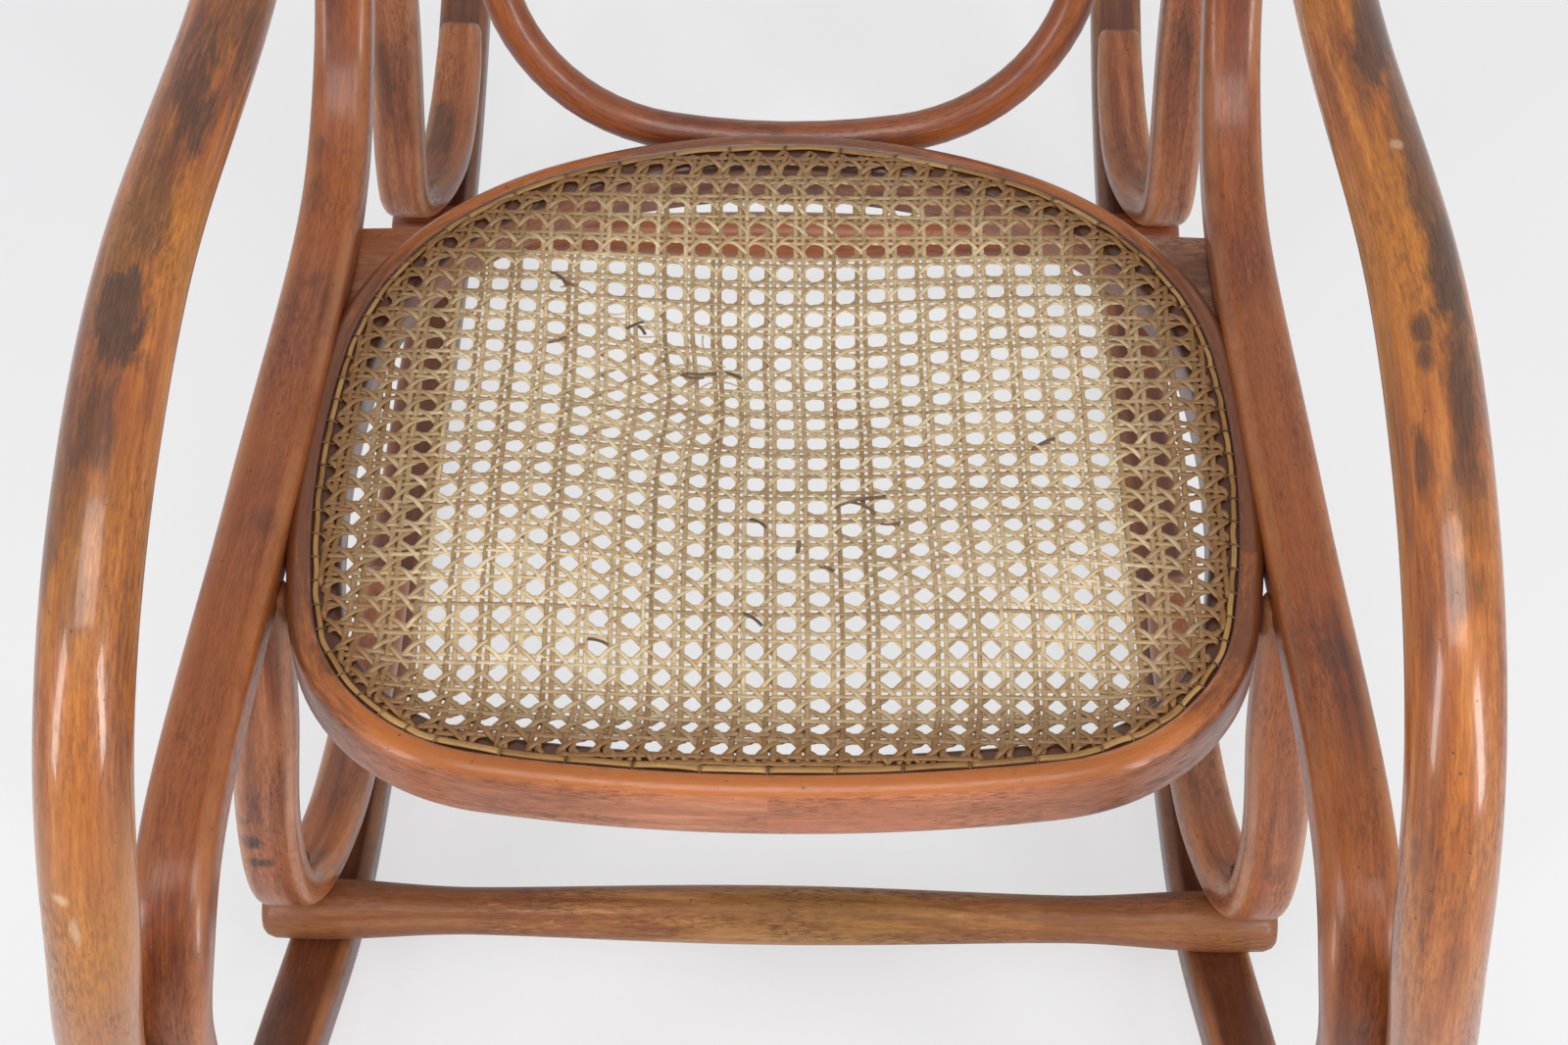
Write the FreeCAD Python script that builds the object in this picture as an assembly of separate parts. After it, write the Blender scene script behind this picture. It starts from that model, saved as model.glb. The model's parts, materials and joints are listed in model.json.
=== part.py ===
import FreeCAD, Part
import math
import os

# Bentwood rocking chair. Millimetres, +Z up, the front of the chair faces -Y, +X is to the
# right of someone looking from the front. The origin is on the floor, under the middle of the
# chair's bounding box. The two sides are bent to one pattern, side 1 on the right and -1 on the
# left, and the old chair has gone a few millimetres out of square.

Vec = FreeCAD.Vector

# Seat
seat_tilt = 6.0             # degrees, the seat falls towards the back
seat_height = 358.0         # top of the seat plane at Y = 0
ring_height = 28.5
ring_wall = 25.0            # width of the bent seat ring
ring_round = 5.0            # rounding of its upper outside edge
ring_ease = 2.5             # and of its lower one
rebate_offset = 12.6        # from the ring's outside to the sunk bed of the cane
rebate_depth = 1.5
binder_width = 5.2
binder_rise = 1.6           # how far the binding cane stands above the ring
cane_gap_pitch = 36.0       # one gap of the web stands for several holes of the real weave
cane_gap_size = 22.0

# Runners
rocking_radius = 1300.0
rest_y = 190.0              # where the runners touch the floor
runner_thick = 24.0
runner_back_y = 770.0
curl_radius = 110.0         # front end of the runner, turned up to meet the side frame
curl_start_y = -155.0

# Back
recline = 20.0              # degrees from the vertical
post_base = Vec(0, 300.8, 419.5)
post_wide = 28.0
post_deep = 24.0
crest_height = 1031.0
crest_top_radius = 400.0
crest_corner_radius = 173.0
bow_turn = 9.0              # degrees from the middle of a bow to where its corner begins
hoop_rod = 19.5
hoop_end_radius = 380.0
hoop_corner_radius = 105.0
hoop_base = Vec(0, 264.6, 315.0)
hoop_length = 739.0

# Stretchers, which lie across the runners
front_stretcher_at = (-48.0, 60.0)
rear_stretcher_at = (426.0, 62.0)
front_stretcher_half = 264.0
rear_stretcher_half = 242.0

# Fasteners
screw_radius = 2.6
screw_head_radius = 5.5
foot_screw_radius = 3.6
foot_head_rise = 42.0       # from the middle of a stretcher up to its screw's head
foot_depth = 32.0           # and down to the screw's end

# Laps where two bent lengths meet
scarf_angle = 13.0          # degrees between a lapped joint and its member
crest_lap_z = 795.0
crest_lap_x = 212.0
runner_lap_at = Vec(251.5, -237, 222)

# How far the frame has racked to the right, growing with height up to the arms
rack_slope = 0.014
rack_base_z = 345.0
rack_top_z = 600.0

# Grams per cubic centimetre, for the balance
wood_density = 0.7
steel_density = 7.85
densities = {"seat_cane_web": 0.35}

seat_front_y = -166.6
seat_arcs = [               # radius of each bend from the front middle, and heading where it ends
    (813.0, 8.7),
    (107.6, 79.7),
    (541.5, 97.7),
    (171.8, 154.7)]


def recline_y(z, base=post_base):
    return base.y + (z - base.z) * math.tan(math.radians(recline))


def rocker_z(y):
    """Height of the middle of a runner's thickness at a place along it."""
    radius = rocking_radius - runner_thick / 2
    return rocking_radius - math.sqrt(radius ** 2 - (y - rest_y) ** 2)


def seat_placement():
    turn = FreeCAD.Rotation(Vec(1, 0, 0), -seat_tilt)
    return FreeCAD.Placement(Vec(0, 0, seat_height), turn)


def racked(x, y, z):
    return Vec(x + rack_slope * (min(z, rack_top_z) - rack_base_z), y, z)


def mirrored(shape):
    return shape.mirror(Vec(0, 0, 0), Vec(1, 0, 0))


def smooth_path(points):
    """A spline through the points, with its own chord lengths as parameters."""
    marks = [0.0]
    for before, after in zip(points, points[1:]):
        marks.append(marks[-1] + (after - before).Length)
    curve = Part.BSplineCurve()
    curve.interpolate(Points=points, Parameters=marks)
    return curve, marks


def section(at, along, across, wide, deep, corner, facets):
    """A rectangle square to the path, each of its corners rounded by a few flats."""
    u = (across - along * along.dot(across)).normalize()
    v = along.cross(u)
    r = min(corner, wide / 2, deep / 2)
    spots = []
    for quarter, (su, sv) in enumerate(((1, 1), (-1, 1), (-1, -1), (1, -1))):
        for k in range(facets + 1):
            turn = math.radians(90 * (quarter + k / facets))
            p = su * (wide / 2 - r) + r * math.cos(turn)
            q = sv * (deep / 2 - r) + r * math.sin(turn)
            spot = at + u * p + v * q
            if not spots or (spot - spots[-1]).Length > 0.05:
                spots.append(spot)
    if (spots[0] - spots[-1]).Length < 0.05:
        spots.pop()
    return Part.makePolygon(spots + spots[:1])


def places_along(curve, length, turn_step, straight_step=190.0, steps=400):
    """Marks along a path, close together in its bends and far apart in its straights."""
    travelled = [0.0]
    before = curve.tangent(0.0)[0]
    for i in range(1, steps + 1):
        along = curve.tangent(length * i / steps)[0]
        turned = math.degrees(before.getAngle(along))
        travelled.append(travelled[-1] + turned / turn_step + length / steps / straight_step)
        before = along
    bands = math.ceil(travelled[-1])
    places = []
    i = 0
    for k in range(bands):
        while travelled[i] < travelled[-1] * k / bands:
            i += 1
        places.append(length * i / steps)
    return places + [length]


def bent_member(stations, corner, side=1, facets=2, across=Vec(1, 0, 0), turn_step=10.0):
    """Loft a steam-bent member along a smooth path through stations (x, y, z, wide, deep)."""
    spots = [racked(side * x, y, z) for x, y, z, wide, deep in stations]
    curve, marks = smooth_path([Vec(side * spot.x, spot.y, spot.z) for spot in spots])
    wires = []
    leg = 0
    for place in places_along(curve, marks[-1], turn_step):
        while place > marks[leg + 1]:
            leg += 1
        share = (place - marks[leg]) / (marks[leg + 1] - marks[leg])
        before = stations[leg]
        after = stations[leg + 1]
        wide = before[3] + share * (after[3] - before[3])
        deep = before[4] + share * (after[4] - before[4])
        at = curve.value(place)
        along = curve.tangent(place)[0]
        wires.append(section(at, along, across, wide, deep, corner, facets))
    solid = Part.makeLoft(wires, True, True)
    return solid if side == 1 else mirrored(solid)


def turned(at, along, outline, facets):
    """A turned piece as rings of flats; the outline gives (place along the axis, radius)."""
    across = Vec(along.y, along.z, along.x).cross(along)
    wires = [section(at + along * place, along, across, 2 * r, 2 * r, r, facets) for place, r in outline]
    return Part.makeLoft(wires, True, True)


def half_space(at, normal, size=140.0):
    """A block on the side of a plane that the normal points to."""
    block = Part.makeBox(size, size, size / 2, Vec(-size / 2, -size / 2, 0))
    block.Placement = FreeCAD.Placement(at, FreeCAD.Rotation(Vec(0, 0, 1), normal))
    return block


def post_station(z, x, wide=post_wide, deep=post_deep):
    return (x, recline_y(z), z, wide, deep)


def side_frame(side):
    """Back post, seat side and front bend in one bent length."""
    stations = [
        post_station(850, 211),
        post_station(700, 213.5),
        post_station(600, 216),
        post_station(500, 219),
        post_station(440, 221, 28, 24.5),
        (222, 288, 392, 28.5, 25),
        (223, 262, 362, 29, 25.5),
        (223.5, 218, 340.5, 30, 26),
        (225, 160, 335, 31, 26),
        (228.5, 77, 343.5, 32, 26),
        (233.5, -18, 353.5, 32, 26),
        (238, -95, 361.5, 32, 26),
        (241, -165, 368.5, 32.5, 26),
        (241.5, -205, 366, 33, 26),
        (242.5, -230, 348, 33, 26),
        (246, -240, 316, 32, 26),
        (249.5, -239, 270, 31, 25.5),
        (251.5, -237, 220, 30.5, 25),
        (252.5, -236, 165, 30, 24)]
    return bent_member(stations, 7.5, side)


def runner(side):
    stations = [
        (249.5, -239, 270, 31, 25.5),
        (251.5, -237, 220, 30.5, 25),
        (252.5, -236, 165, 30.5, 24)]
    start_turn = math.asin((rest_y - curl_start_y) / (rocking_radius - runner_thick / 2))
    start_z = rocker_z(curl_start_y)
    for share, x in ((0.66, 252), (0.33, 250)):
        turn = start_turn + share * (math.pi / 2 - start_turn)
        y = curl_start_y - curl_radius * (math.sin(turn) - math.sin(start_turn))
        z = start_z + curl_radius * (math.cos(start_turn) - math.cos(turn))
        stations.append((x, y, z, 32, 24))
    for y, x, wide in ((-155, 247, 33.5), (-110, 242, 34), (-50, 234.5, 34), (60, 229.5, 34),
                       (190, 224.5, 33.5), (320, 219, 33), (440, 213.5, 32), (560, 211, 31.5),
                       (660, 211, 31), (runner_back_y, 211, 30)):
        stations.append((x, y, rocker_z(y), wide, runner_thick))
    return bent_member(stations, 6.0, side)


def arm(side):
    """Round rod from the back post over and down to the front of the side frame."""
    stations = [
        (212, 366, 597, 27, 27),
        (212, 300, 600, 29, 29),
        (214, 200, 600, 31, 31),
        (218, 120, 596.5, 32.5, 32.5),
        (225, 51, 590, 33.5, 33.5),
        (239.5, -41, 580, 36, 36),
        (245, -126, 567, 37, 37),
        (246.5, -197, 544, 36.5, 36.5),
        (248.5, -238, 508, 36.5, 36.5),
        (252, -257, 462, 36.5, 36.5),
        (257.5, -266, 410, 36, 36),
        (265, -268, 355, 35, 35),
        (268, -267, 300, 33.5, 33.5),
        (265, -264, 245, 31, 31),
        (259, -260, 195, 28, 28),
        (254.5, -257, 150, 24, 22)]
    return bent_member(stations, 30.0, side, facets=3)


def front_scroll(side):
    """Bent brace that stands on the front stretcher, with its tail along the runner."""
    stations = [
        (229, -48, 352, 27, 19),
        (231, -57, 310, 28, 19.5),
        (234.5, -63, 265, 29, 20),
        (240.5, -66, 220, 30, 20.5),
        (245, -66, 175, 30, 20.5),
        (246.5, -65.5, 128, 30, 20.5),
        (245, -57, 100, 30, 20.5),
        (239.5, -38, 84.5, 29.5, 20.5),
        (233.5, -16, 80, 29, 20),
        (229.5, 14, 73, 29, 19.5),
        (228, 70, 55, 29, 19),
        (226, 130, 41, 28, 18),
        (225, 186, 34, 26, 16)]
    return bent_member(stations, 6.5, side)


def rear_scroll(side):
    """Bent brace behind the post, standing on the rear stretcher, tail along the runner."""
    stations = [
        (212, 426, 702, 25, 17),
        (212, 409, 650, 27, 18.5),
        (213, 403, 600, 28, 19),
        (215, 401.5, 520, 29, 20),
        (217.5, 403, 420, 29, 20),
        (220.5, 406, 300, 29.5, 20.5),
        (226, 408, 190, 29.5, 20.5),
        (229, 408, 130, 29.5, 20.5),
        (228.5, 415, 103, 29.5, 20.5),
        (223, 434, 87, 29.5, 20.5),
        (215, 462, 81, 29.5, 20),
        (211, 500, 81.5, 29.5, 19),
        (210, 540, 88, 28.5, 18),
        (210, 570, 97, 26, 16)]
    return bent_member(stations, 6.5, side)


def bow_quarter(top_radius, top_turn, corner_radius, bends=4):
    """Half of a bow from its middle to its side, as two tangent arcs of (across, drop)."""
    turn = math.radians(top_turn)
    join = (top_radius * math.sin(turn), top_radius * (1 - math.cos(turn)))
    centre = (join[0] - corner_radius * math.sin(turn), join[1] + corner_radius * math.cos(turn))
    top = []
    for share in (0.0, 0.5, 1.0):
        top.append((top_radius * math.sin(share * turn), top_radius * (1 - math.cos(share * turn))))
    corner = []
    for k in range(bends):
        t = turn + (k + 1) / bends * (math.pi / 2 - turn)
        corner.append((centre[0] + corner_radius * math.sin(t), centre[1] - corner_radius * math.cos(t)))
    return top, corner


def crest():
    """Top bow of the back, lapped to both posts."""
    top, corner = bow_quarter(crest_top_radius, bow_turn, crest_corner_radius)
    lean = math.radians(recline)
    laps = ((740, crest_lap_x + 0.7), (crest_lap_z, crest_lap_x))
    stations = [post_station(z, x, post_deep, post_wide) for z, x in laps]
    for across, drop in reversed(top + corner):
        z = crest_height - drop * math.cos(lean)
        stations.append(post_station(z, across, post_deep, post_wide))
    stations += [(-x, y, z, wide, deep) for x, y, z, wide, deep in reversed(stations[:-1])]
    return bent_member(stations, 7.5, across=Vec(0, math.cos(lean), -math.sin(lean)), turn_step=12.0)


def back_hoop():
    """Closed oval of round rod inside the posts, from the seat ring to the crest."""
    top, corner = bow_quarter(hoop_end_radius, bow_turn, hoop_corner_radius, 6)
    quarter = [(x, drop) for x, drop in top[:1] + top[2:] + corner]
    half = quarter + [(x, hoop_length - drop) for x, drop in reversed(quarter)]
    oval = half + [(-x, rise) for x, rise in reversed(half[1:-1])]
    lean = math.radians(recline)
    up = Vec(0, math.sin(lean), math.cos(lean))
    spots = [racked(*(hoop_base + Vec(x, 0, 0) + up * rise)) for x, rise in oval]
    wires = []
    for i, spot in enumerate(spots):
        along = (spots[(i + 1) % len(spots)] - spots[i - 1]).normalize()
        out = along.cross(up.cross(Vec(1, 0, 0)))
        wires.append(section(spot, along, out, hoop_rod, hoop_rod, hoop_rod, 3))
    return Part.makeLoft(wires + wires[:1], True, True)


def turned_stretcher(at, half, waist_x, middle_radius, waist_radius, end_radius):
    """Lathe-turned rod: a swelling in the middle, two waists and plump ends."""
    swell = half - 26
    outline = [(-half, end_radius - 4.5), (-half + 4, end_radius - 0.6), (-swell, end_radius)]
    for share in (0.3, 0.65):
        fall = (1 - math.cos(math.pi * share)) / 2
        outline.append((-swell + share * (swell - waist_x), end_radius + (waist_radius - end_radius) * fall))
    for share in (0, 0.35, 0.7, 1):
        rise = math.sin(math.pi / 2 * share) ** 1.5
        outline.append((waist_x * (share - 1), waist_radius + (middle_radius - waist_radius) * rise))
    outline += [(-x, radius) for x, radius in reversed(outline[:-1])]
    return turned(racked(0, *at), Vec(1, 0, 0), outline, 4)


def seat_outline(offset, height=0.0):
    """Closed outline of the seat, five tangent arcs a side, moved in by the offset."""
    at = Vec(0, seat_front_y + offset, height)
    heading = 0.0
    arcs = []
    for radius, end in seat_arcs + [(None, 180.0)]:
        start_turn = math.radians(heading)
        end_turn = math.radians(end)
        r = at.x / math.sin(start_turn) if radius is None else radius - offset
        centre = at + Vec(-math.sin(start_turn), math.cos(start_turn), 0) * r
        spots = []
        for turn in (start_turn, (start_turn + end_turn) / 2, end_turn):
            spots.append(centre + Vec(math.sin(turn), -math.cos(turn), 0) * r)
        arcs.append(spots)
        at = spots[2]
        heading = end
    edges = [Part.Arc(*spots).toShape() for spots in arcs]
    for spots in reversed(arcs):
        left = [Vec(-p.x, p.y, p.z) for p in reversed(spots)]
        edges.append(Part.Arc(*left).toShape())
    return Part.Wire(edges)


def plate(offset, low, high):
    return Part.Face(seat_outline(offset, low)).extrude(Vec(0, 0, high - low))


def eased(solid, height, size):
    """Take a chamfer off every edge that lies at a height."""
    edges = [e for e in solid.Edges if abs(e.BoundBox.ZMin - height) + abs(e.BoundBox.ZMax - height) < 0.02]
    return solid.makeChamfer(size, edges)


def seat_ring():
    ring = plate(0, -ring_height, 0)
    ring = eased(ring, 0, ring_round)
    ring = eased(ring, -ring_height, ring_ease)
    ring = ring.cut(plate(ring_wall, -ring_height - 5, 5))
    return ring.cut(plate(rebate_offset, -rebate_depth, 5))


def cane_web():
    """The woven cane as one flat net of eight-sided gaps, in the bed of the seat ring."""
    edge = rebate_offset + binder_width
    web = Part.Face(seat_outline(edge, -rebate_depth))
    room = Part.Face(seat_outline(ring_wall + 1.5 + cane_gap_size / 2, -rebate_depth))
    gaps = []
    a = cane_gap_size / 2
    c = a * math.tan(math.radians(22.5))
    shape = [(a, -c), (a, c), (c, a), (-c, a), (-a, c), (-a, -c), (-c, -a), (c, -a)]
    rows = range(-8, 10)
    for row in rows:
        for column in range(-8, 9):
            at = Vec(column * cane_gap_pitch, row * cane_gap_pitch, -rebate_depth)
            if room.isInside(at, 0.01, True):
                corners = [at + Vec(x, y, 0) for x, y in shape]
                gaps.append(Part.makePolygon(corners + corners[:1]))
    print("cane gaps", len(gaps))
    face = Part.Face([web.OuterWire] + gaps)
    face.validate()
    return face.extrude(Vec(0, 0, rebate_depth))


def cane_binder():
    outer = plate(rebate_offset, -rebate_depth, binder_rise)
    return outer.cut(plate(rebate_offset + binder_width, -rebate_depth - 1, binder_rise + 1))


def seat_block():
    """Wedge that fills the corner between the seat ring and the back bend of the side frame."""
    corners = [Vec(190, 124), Vec(226, 124), Vec(226, 190), Vec(160, 193)]
    face = Part.Face(Part.makePolygon(corners + corners[:1]))
    face.translate(Vec(0, 0, -27))
    return face.extrude(Vec(0, 0, 17))


def screw(head_at, direction, length, radius=screw_radius, head=screw_head_radius):
    """Round-headed screw with a few flats: its shank runs into the wood, its head stands on it."""
    shank = Part.Face(regular_outline(radius, 0)).extrude(Vec(0, 0, length))
    cap = Part.Face(regular_outline(head, 0)).extrude(Vec(0, 0, -head * 0.5))
    top = [e for e in cap.Edges if e.BoundBox.ZMax < -head * 0.49]
    cap = cap.makeChamfer(head * 0.3, top)
    solid = shank.fuse(cap)
    solid.Placement = FreeCAD.Placement(head_at, FreeCAD.Rotation(Vec(0, 0, 1), direction))
    return solid


def regular_outline(radius, z, sides=8):
    spots = []
    for k in range(sides):
        turn = 2 * math.pi * k / sides
        spots.append(Vec(radius * math.cos(turn), radius * math.sin(turn), z))
    return Part.makePolygon(spots + spots[:1])


def foot_screws():
    """Long screws through the foot of each scroll and its stretcher, into the runner."""
    screws = []
    for (y, z), x in ((front_stretcher_at, 241), (rear_stretcher_at, 225)):
        turn = math.asin((rest_y - y) / rocking_radius)
        down = Vec(0, -math.sin(turn), -math.cos(turn))
        head_at = Vec(x, y, z) - down * foot_head_rise
        screws.append(screw(head_at, down, foot_head_rise + foot_depth, foot_screw_radius, 7.5))
    return screws


def scroll_tail_screws():
    front = screw(Vec(226, 162, 45), Vec(0, 0.1, -1), 24)
    rear = screw(Vec(210, 552, 99.5), Vec(0, 0.2, -1), 30)
    return [front, rear]


def front_scroll_top_screws():
    return [screw(Vec(230, -63.2, 328), Vec(0, 1, 1.1), 34)]


def rear_scroll_top_screws():
    return [screw(Vec(212, 421.5, 668), Vec(0, -1, 0.2), 34)]


def arm_rear_screws():
    lean = math.radians(recline)
    back = Vec(214, recline_y(598) + post_deep / 2 / math.cos(lean), 598)
    return [screw(back, Vec(0, -1, 0), 52)]


def arm_front_screws():
    inward = Vec(-0.1, 1, 0)
    return [screw(Vec(263.5, -279, 232), inward, 34), screw(Vec(257.7, -271.2, 181), inward, 30)]


def crest_scarf_screws():
    lean = math.radians(recline)
    screws = []
    for z in (crest_lap_z - 24, crest_lap_z + 24):
        back = Vec(crest_lap_x, recline_y(z) + post_deep / 2 / math.cos(lean), z)
        screws.append(screw(back, Vec(0, -math.cos(lean), math.sin(lean)), 19))
    return screws


def runner_scarf_screws():
    forward = Vec(0, -1, 0)
    return [screw(Vec(251, -225, 243), forward, 18), screw(Vec(251.8, -224.7, 203), forward, 18)]


def seat_side_screws():
    inward = Vec(-1, 0, 0)
    return [screw(Vec(250.2, -24, 352), inward, 44), screw(Vec(245.2, 62, 343.5), inward, 44)]


def hoop_screws():
    """One through the foot of the hoop into the seat ring, two down through the crest."""
    lean = math.radians(recline)
    up = Vec(0, math.sin(lean), math.cos(lean))
    foot = screw(hoop_base + Vec(0, hoop_rod / 2, 0), Vec(0, -1, 0), 33)
    top = racked(*(hoop_base + up * (hoop_length + post_wide)))
    return [foot, screw(top + Vec(28, 0, 0), up * -1, 38), screw(top - Vec(28, 0, 0), up * -1, 38)]


def both_sides(screws):
    placed = []
    for shape in screws + [mirrored(shape) for shape in screws]:
        middle = shape.BoundBox.Center
        placed.append(shape.translated(racked(*middle) - middle))
    return Part.makeCompound(placed)


def balance_turn(weights):
    """How far the chair leans forward about its rocking axis until it hangs level."""
    total = sum(shape.Volume * density for shape, density in weights)
    y = 0.0
    z = 0.0
    for shape, density in weights:
        for solid in shape.Solids:
            share = solid.Volume * density / total
            y += solid.CenterOfMass.y * share
            z += solid.CenterOfMass.z * share
    print("centre of mass before the turn", round(y, 1), round(z, 1))
    return math.degrees(math.atan2(rest_y - y, rocking_radius - z))


def settle(pieces):
    """Turn the pieces to the pose of rest and put the origin under their bounding box."""
    weights = [(shape, densities.get(name, wood_density)) for name, shape in pieces]
    axis_at = Vec(0, rest_y, rocking_radius)
    turn = FreeCAD.Rotation(Vec(1, 0, 0), balance_turn(weights))
    placement = FreeCAD.Placement(axis_at - turn.multVec(axis_at), turn)
    settled = [(name, shape.transformed(placement.toMatrix())) for name, shape in pieces]
    box = FreeCAD.BoundBox()
    for name, shape in settled:
        box.add(shape.BoundBox)
    shift = Vec(-(box.XMin + box.XMax) / 2, -(box.YMin + box.YMax) / 2, -box.ZMin)
    print("turned forward", round(math.degrees(turn.Angle), 3), "moved", shift)
    print("size", round(box.XLength, 1), round(box.YLength, 1), round(box.ZLength, 1))
    return [(name, shape.translated(shift)) for name, shape in settled]


def export(name, shape):
    shape.exportStep("parts/" + name + ".step")
    volume = round(shape.Volume / 1000, 2)
    print(name, "solids", len(shape.Solids), "volume", volume, "cm3", shape.isValid())


def laps():
    """The two sawn planes of a side: where each is, and which way the side frame's waste lies."""
    low = math.radians(scarf_angle)
    top = math.radians(recline + scarf_angle)
    top_at = Vec(crest_lap_x, recline_y(crest_lap_z), crest_lap_z)
    low_waste = Vec(0, -math.cos(low), -math.sin(low))
    top_waste = Vec(0, -math.cos(top), math.sin(top))
    return (runner_lap_at, low_waste), (top_at, top_waste)


def side_pieces(side, rods, ring):
    """The bent members of one side, each trimmed to what it stands on."""
    front_rod, rear_rod = rods
    (low_at, low_waste), (top_at, top_waste) = laps()
    low_at = racked(side * low_at.x, low_at.y, low_at.z)
    top_at = racked(side * top_at.x, top_at.y, top_at.z)
    frame = side_frame(side).cut(half_space(low_at, low_waste)).cut(half_space(top_at, top_waste))
    rocker = runner(side).cut(half_space(low_at, low_waste * -1))
    return [("side_frame", frame),
            ("arm", arm(side).cut(frame).cut(rocker)),
            ("front_scroll", front_scroll(side).cut(frame).cut(rocker).cut(front_rod).cut(ring)),
            ("rear_scroll", rear_scroll(side).cut(frame).cut(rocker).cut(rear_rod)),
            ("runner", rocker.cut(front_rod).cut(rear_rod))]


def main():
    os.makedirs("parts", exist_ok=True)
    front_rod = turned_stretcher(front_stretcher_at, front_stretcher_half, 156, 15.5, 12.4, 16)
    rear_rod = turned_stretcher(rear_stretcher_at, rear_stretcher_half, 128, 14.7, 11.5, 16)
    bow = crest()
    hoop = back_hoop()
    ring = seat_ring()
    block = seat_block()
    web = cane_web()
    binder = cane_binder()
    for shape in (ring, block, web, binder):
        shape.Placement = seat_placement()
    ring = ring.cut(hoop)

    pieces = []
    for side, label in ((1, "_right"), (-1, "_left")):
        for name, shape in side_pieces(side, (front_rod, rear_rod), ring):
            pieces.append((name + label, shape))
            if name == "side_frame":
                ring = ring.cut(shape)
                wedge = block if side == 1 else mirrored(block)
                pieces.append(("seat_block" + label, wedge.cut(shape).cut(ring)))
        top_at, top_waste = laps()[1]
        bow = bow.cut(half_space(racked(side * top_at.x, top_at.y, top_at.z), top_waste * -1))
    hoop = hoop.cut(bow)

    pieces += [("crest_bow", bow), ("back_hoop", hoop), ("front_stretcher", front_rod),
               ("rear_stretcher", rear_rod), ("seat_ring", ring), ("seat_cane_web", web),
               ("cane_binder", binder)]
    for make in (foot_screws, scroll_tail_screws, front_scroll_top_screws, rear_scroll_top_screws,
                 arm_rear_screws, arm_front_screws, crest_scarf_screws, runner_scarf_screws,
                 seat_side_screws):
        pieces.append((make.__name__, both_sides(make())))
        densities[make.__name__] = steel_density
    pieces.append(("hoop_screws", Part.makeCompound(hoop_screws())))
    densities["hoop_screws"] = steel_density
    for name, shape in settle(pieces):
        export(name, shape)


main()
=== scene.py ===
import bpy
import bmesh
import json
import math
import random
import numpy as np
from mathutils import Matrix, Vector


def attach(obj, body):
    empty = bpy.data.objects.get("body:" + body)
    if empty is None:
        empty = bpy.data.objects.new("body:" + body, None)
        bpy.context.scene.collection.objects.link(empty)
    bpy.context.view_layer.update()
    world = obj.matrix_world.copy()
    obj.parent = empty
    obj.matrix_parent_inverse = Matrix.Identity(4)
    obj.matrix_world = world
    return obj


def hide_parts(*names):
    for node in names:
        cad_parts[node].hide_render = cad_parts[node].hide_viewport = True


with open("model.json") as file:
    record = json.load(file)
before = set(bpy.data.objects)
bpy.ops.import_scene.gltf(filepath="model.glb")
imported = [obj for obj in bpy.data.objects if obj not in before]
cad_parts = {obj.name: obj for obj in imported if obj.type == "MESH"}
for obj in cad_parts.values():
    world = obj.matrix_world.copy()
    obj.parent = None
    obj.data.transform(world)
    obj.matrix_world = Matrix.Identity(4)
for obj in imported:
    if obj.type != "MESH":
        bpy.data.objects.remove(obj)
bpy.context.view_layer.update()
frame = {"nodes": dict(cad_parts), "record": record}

mm = 0.001
random.seed(7)                              # the same weave each run

# where the CAD stands: the members are drawn level, then the chair leans forward until it balances
seatTilt = 6.0
rockingAxis = Vector((0, 190, 1300))        # mm, the middle of the runners' circle
seatMarkY = 51.0                            # the record's seat mount, along the seat
seatHeight = 358.0

seatMount = [m for m in frame["record"]["mounts"] if m["name"] == "seat"][0]
restTilt = math.degrees(math.atan2(seatMount["axis"][1], seatMount["axis"][2]))
restTurn = Matrix.Rotation(math.radians(seatTilt - restTilt), 3, "X")
seatTurn = Matrix.Rotation(math.radians(-seatTilt), 3, "X")


def leaned(p):
    return restTurn @ (Vector(p) - rockingAxis) + rockingAxis


def seatLevel(x, y, h=0.0):
    # point of the seat's own plane, before the lean
    return seatTurn @ Vector((x, y, h)) + Vector((0, 0, seatHeight))


frameShift = Vector(seatMount["pos_m"]) / mm - leaned(seatLevel(0, seatMarkY))


def place(p):
    # from the maker's millimetres to the frame's metres
    return (leaned(p) + frameShift) * mm


def seatPlace(x, y, h=0.0):
    return place(seatLevel(x, y, h))


# the old frame has racked a few millimetres to the right, more with height
rack = {"slope": 0.014, "baseZ": 345.0, "topZ": 600.0}


def racked(x, y, z):
    return (x + rack["slope"] * (min(z, rack["topZ"]) - rack["baseZ"]), y, z)


# materials

def nodeTree(name):
    mat = bpy.data.materials.new(name)
    mat.use_nodes = True
    tree = mat.node_tree
    return mat, tree, tree.nodes["Principled BSDF"]


def addNode(tree, kind, **values):
    node = tree.nodes.new(kind)
    for key, value in values.items():
        if key in node.inputs:
            node.inputs[key].default_value = value
        else:
            setattr(node, key, value)
    return node


def feed(tree, value, socket):
    # a number or a colour is set on the socket, a node's output is linked to it
    if isinstance(value, (int, float)):
        socket.default_value = value
    elif isinstance(value, tuple):
        socket.default_value = (*value, 1)
    else:
        tree.links.new(value, socket)


def ramp(tree, source, stops):
    node = tree.nodes.new("ShaderNodeValToRGB")
    while len(node.color_ramp.elements) < len(stops):
        node.color_ramp.elements.new(0.5)
    for element, (at, colour) in zip(node.color_ramp.elements, stops):
        element.position = at
        element.color = (*colour, 1) if isinstance(colour, tuple) else (colour, colour, colour, 1)
    tree.links.new(source, node.inputs["Fac"])
    return node.outputs["Color"]


def fade(tree, source, start, end, amount):
    # nothing up to start, the whole amount from end on
    return ramp(tree, source, [(start, 0.0), (end, amount)])


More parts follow.
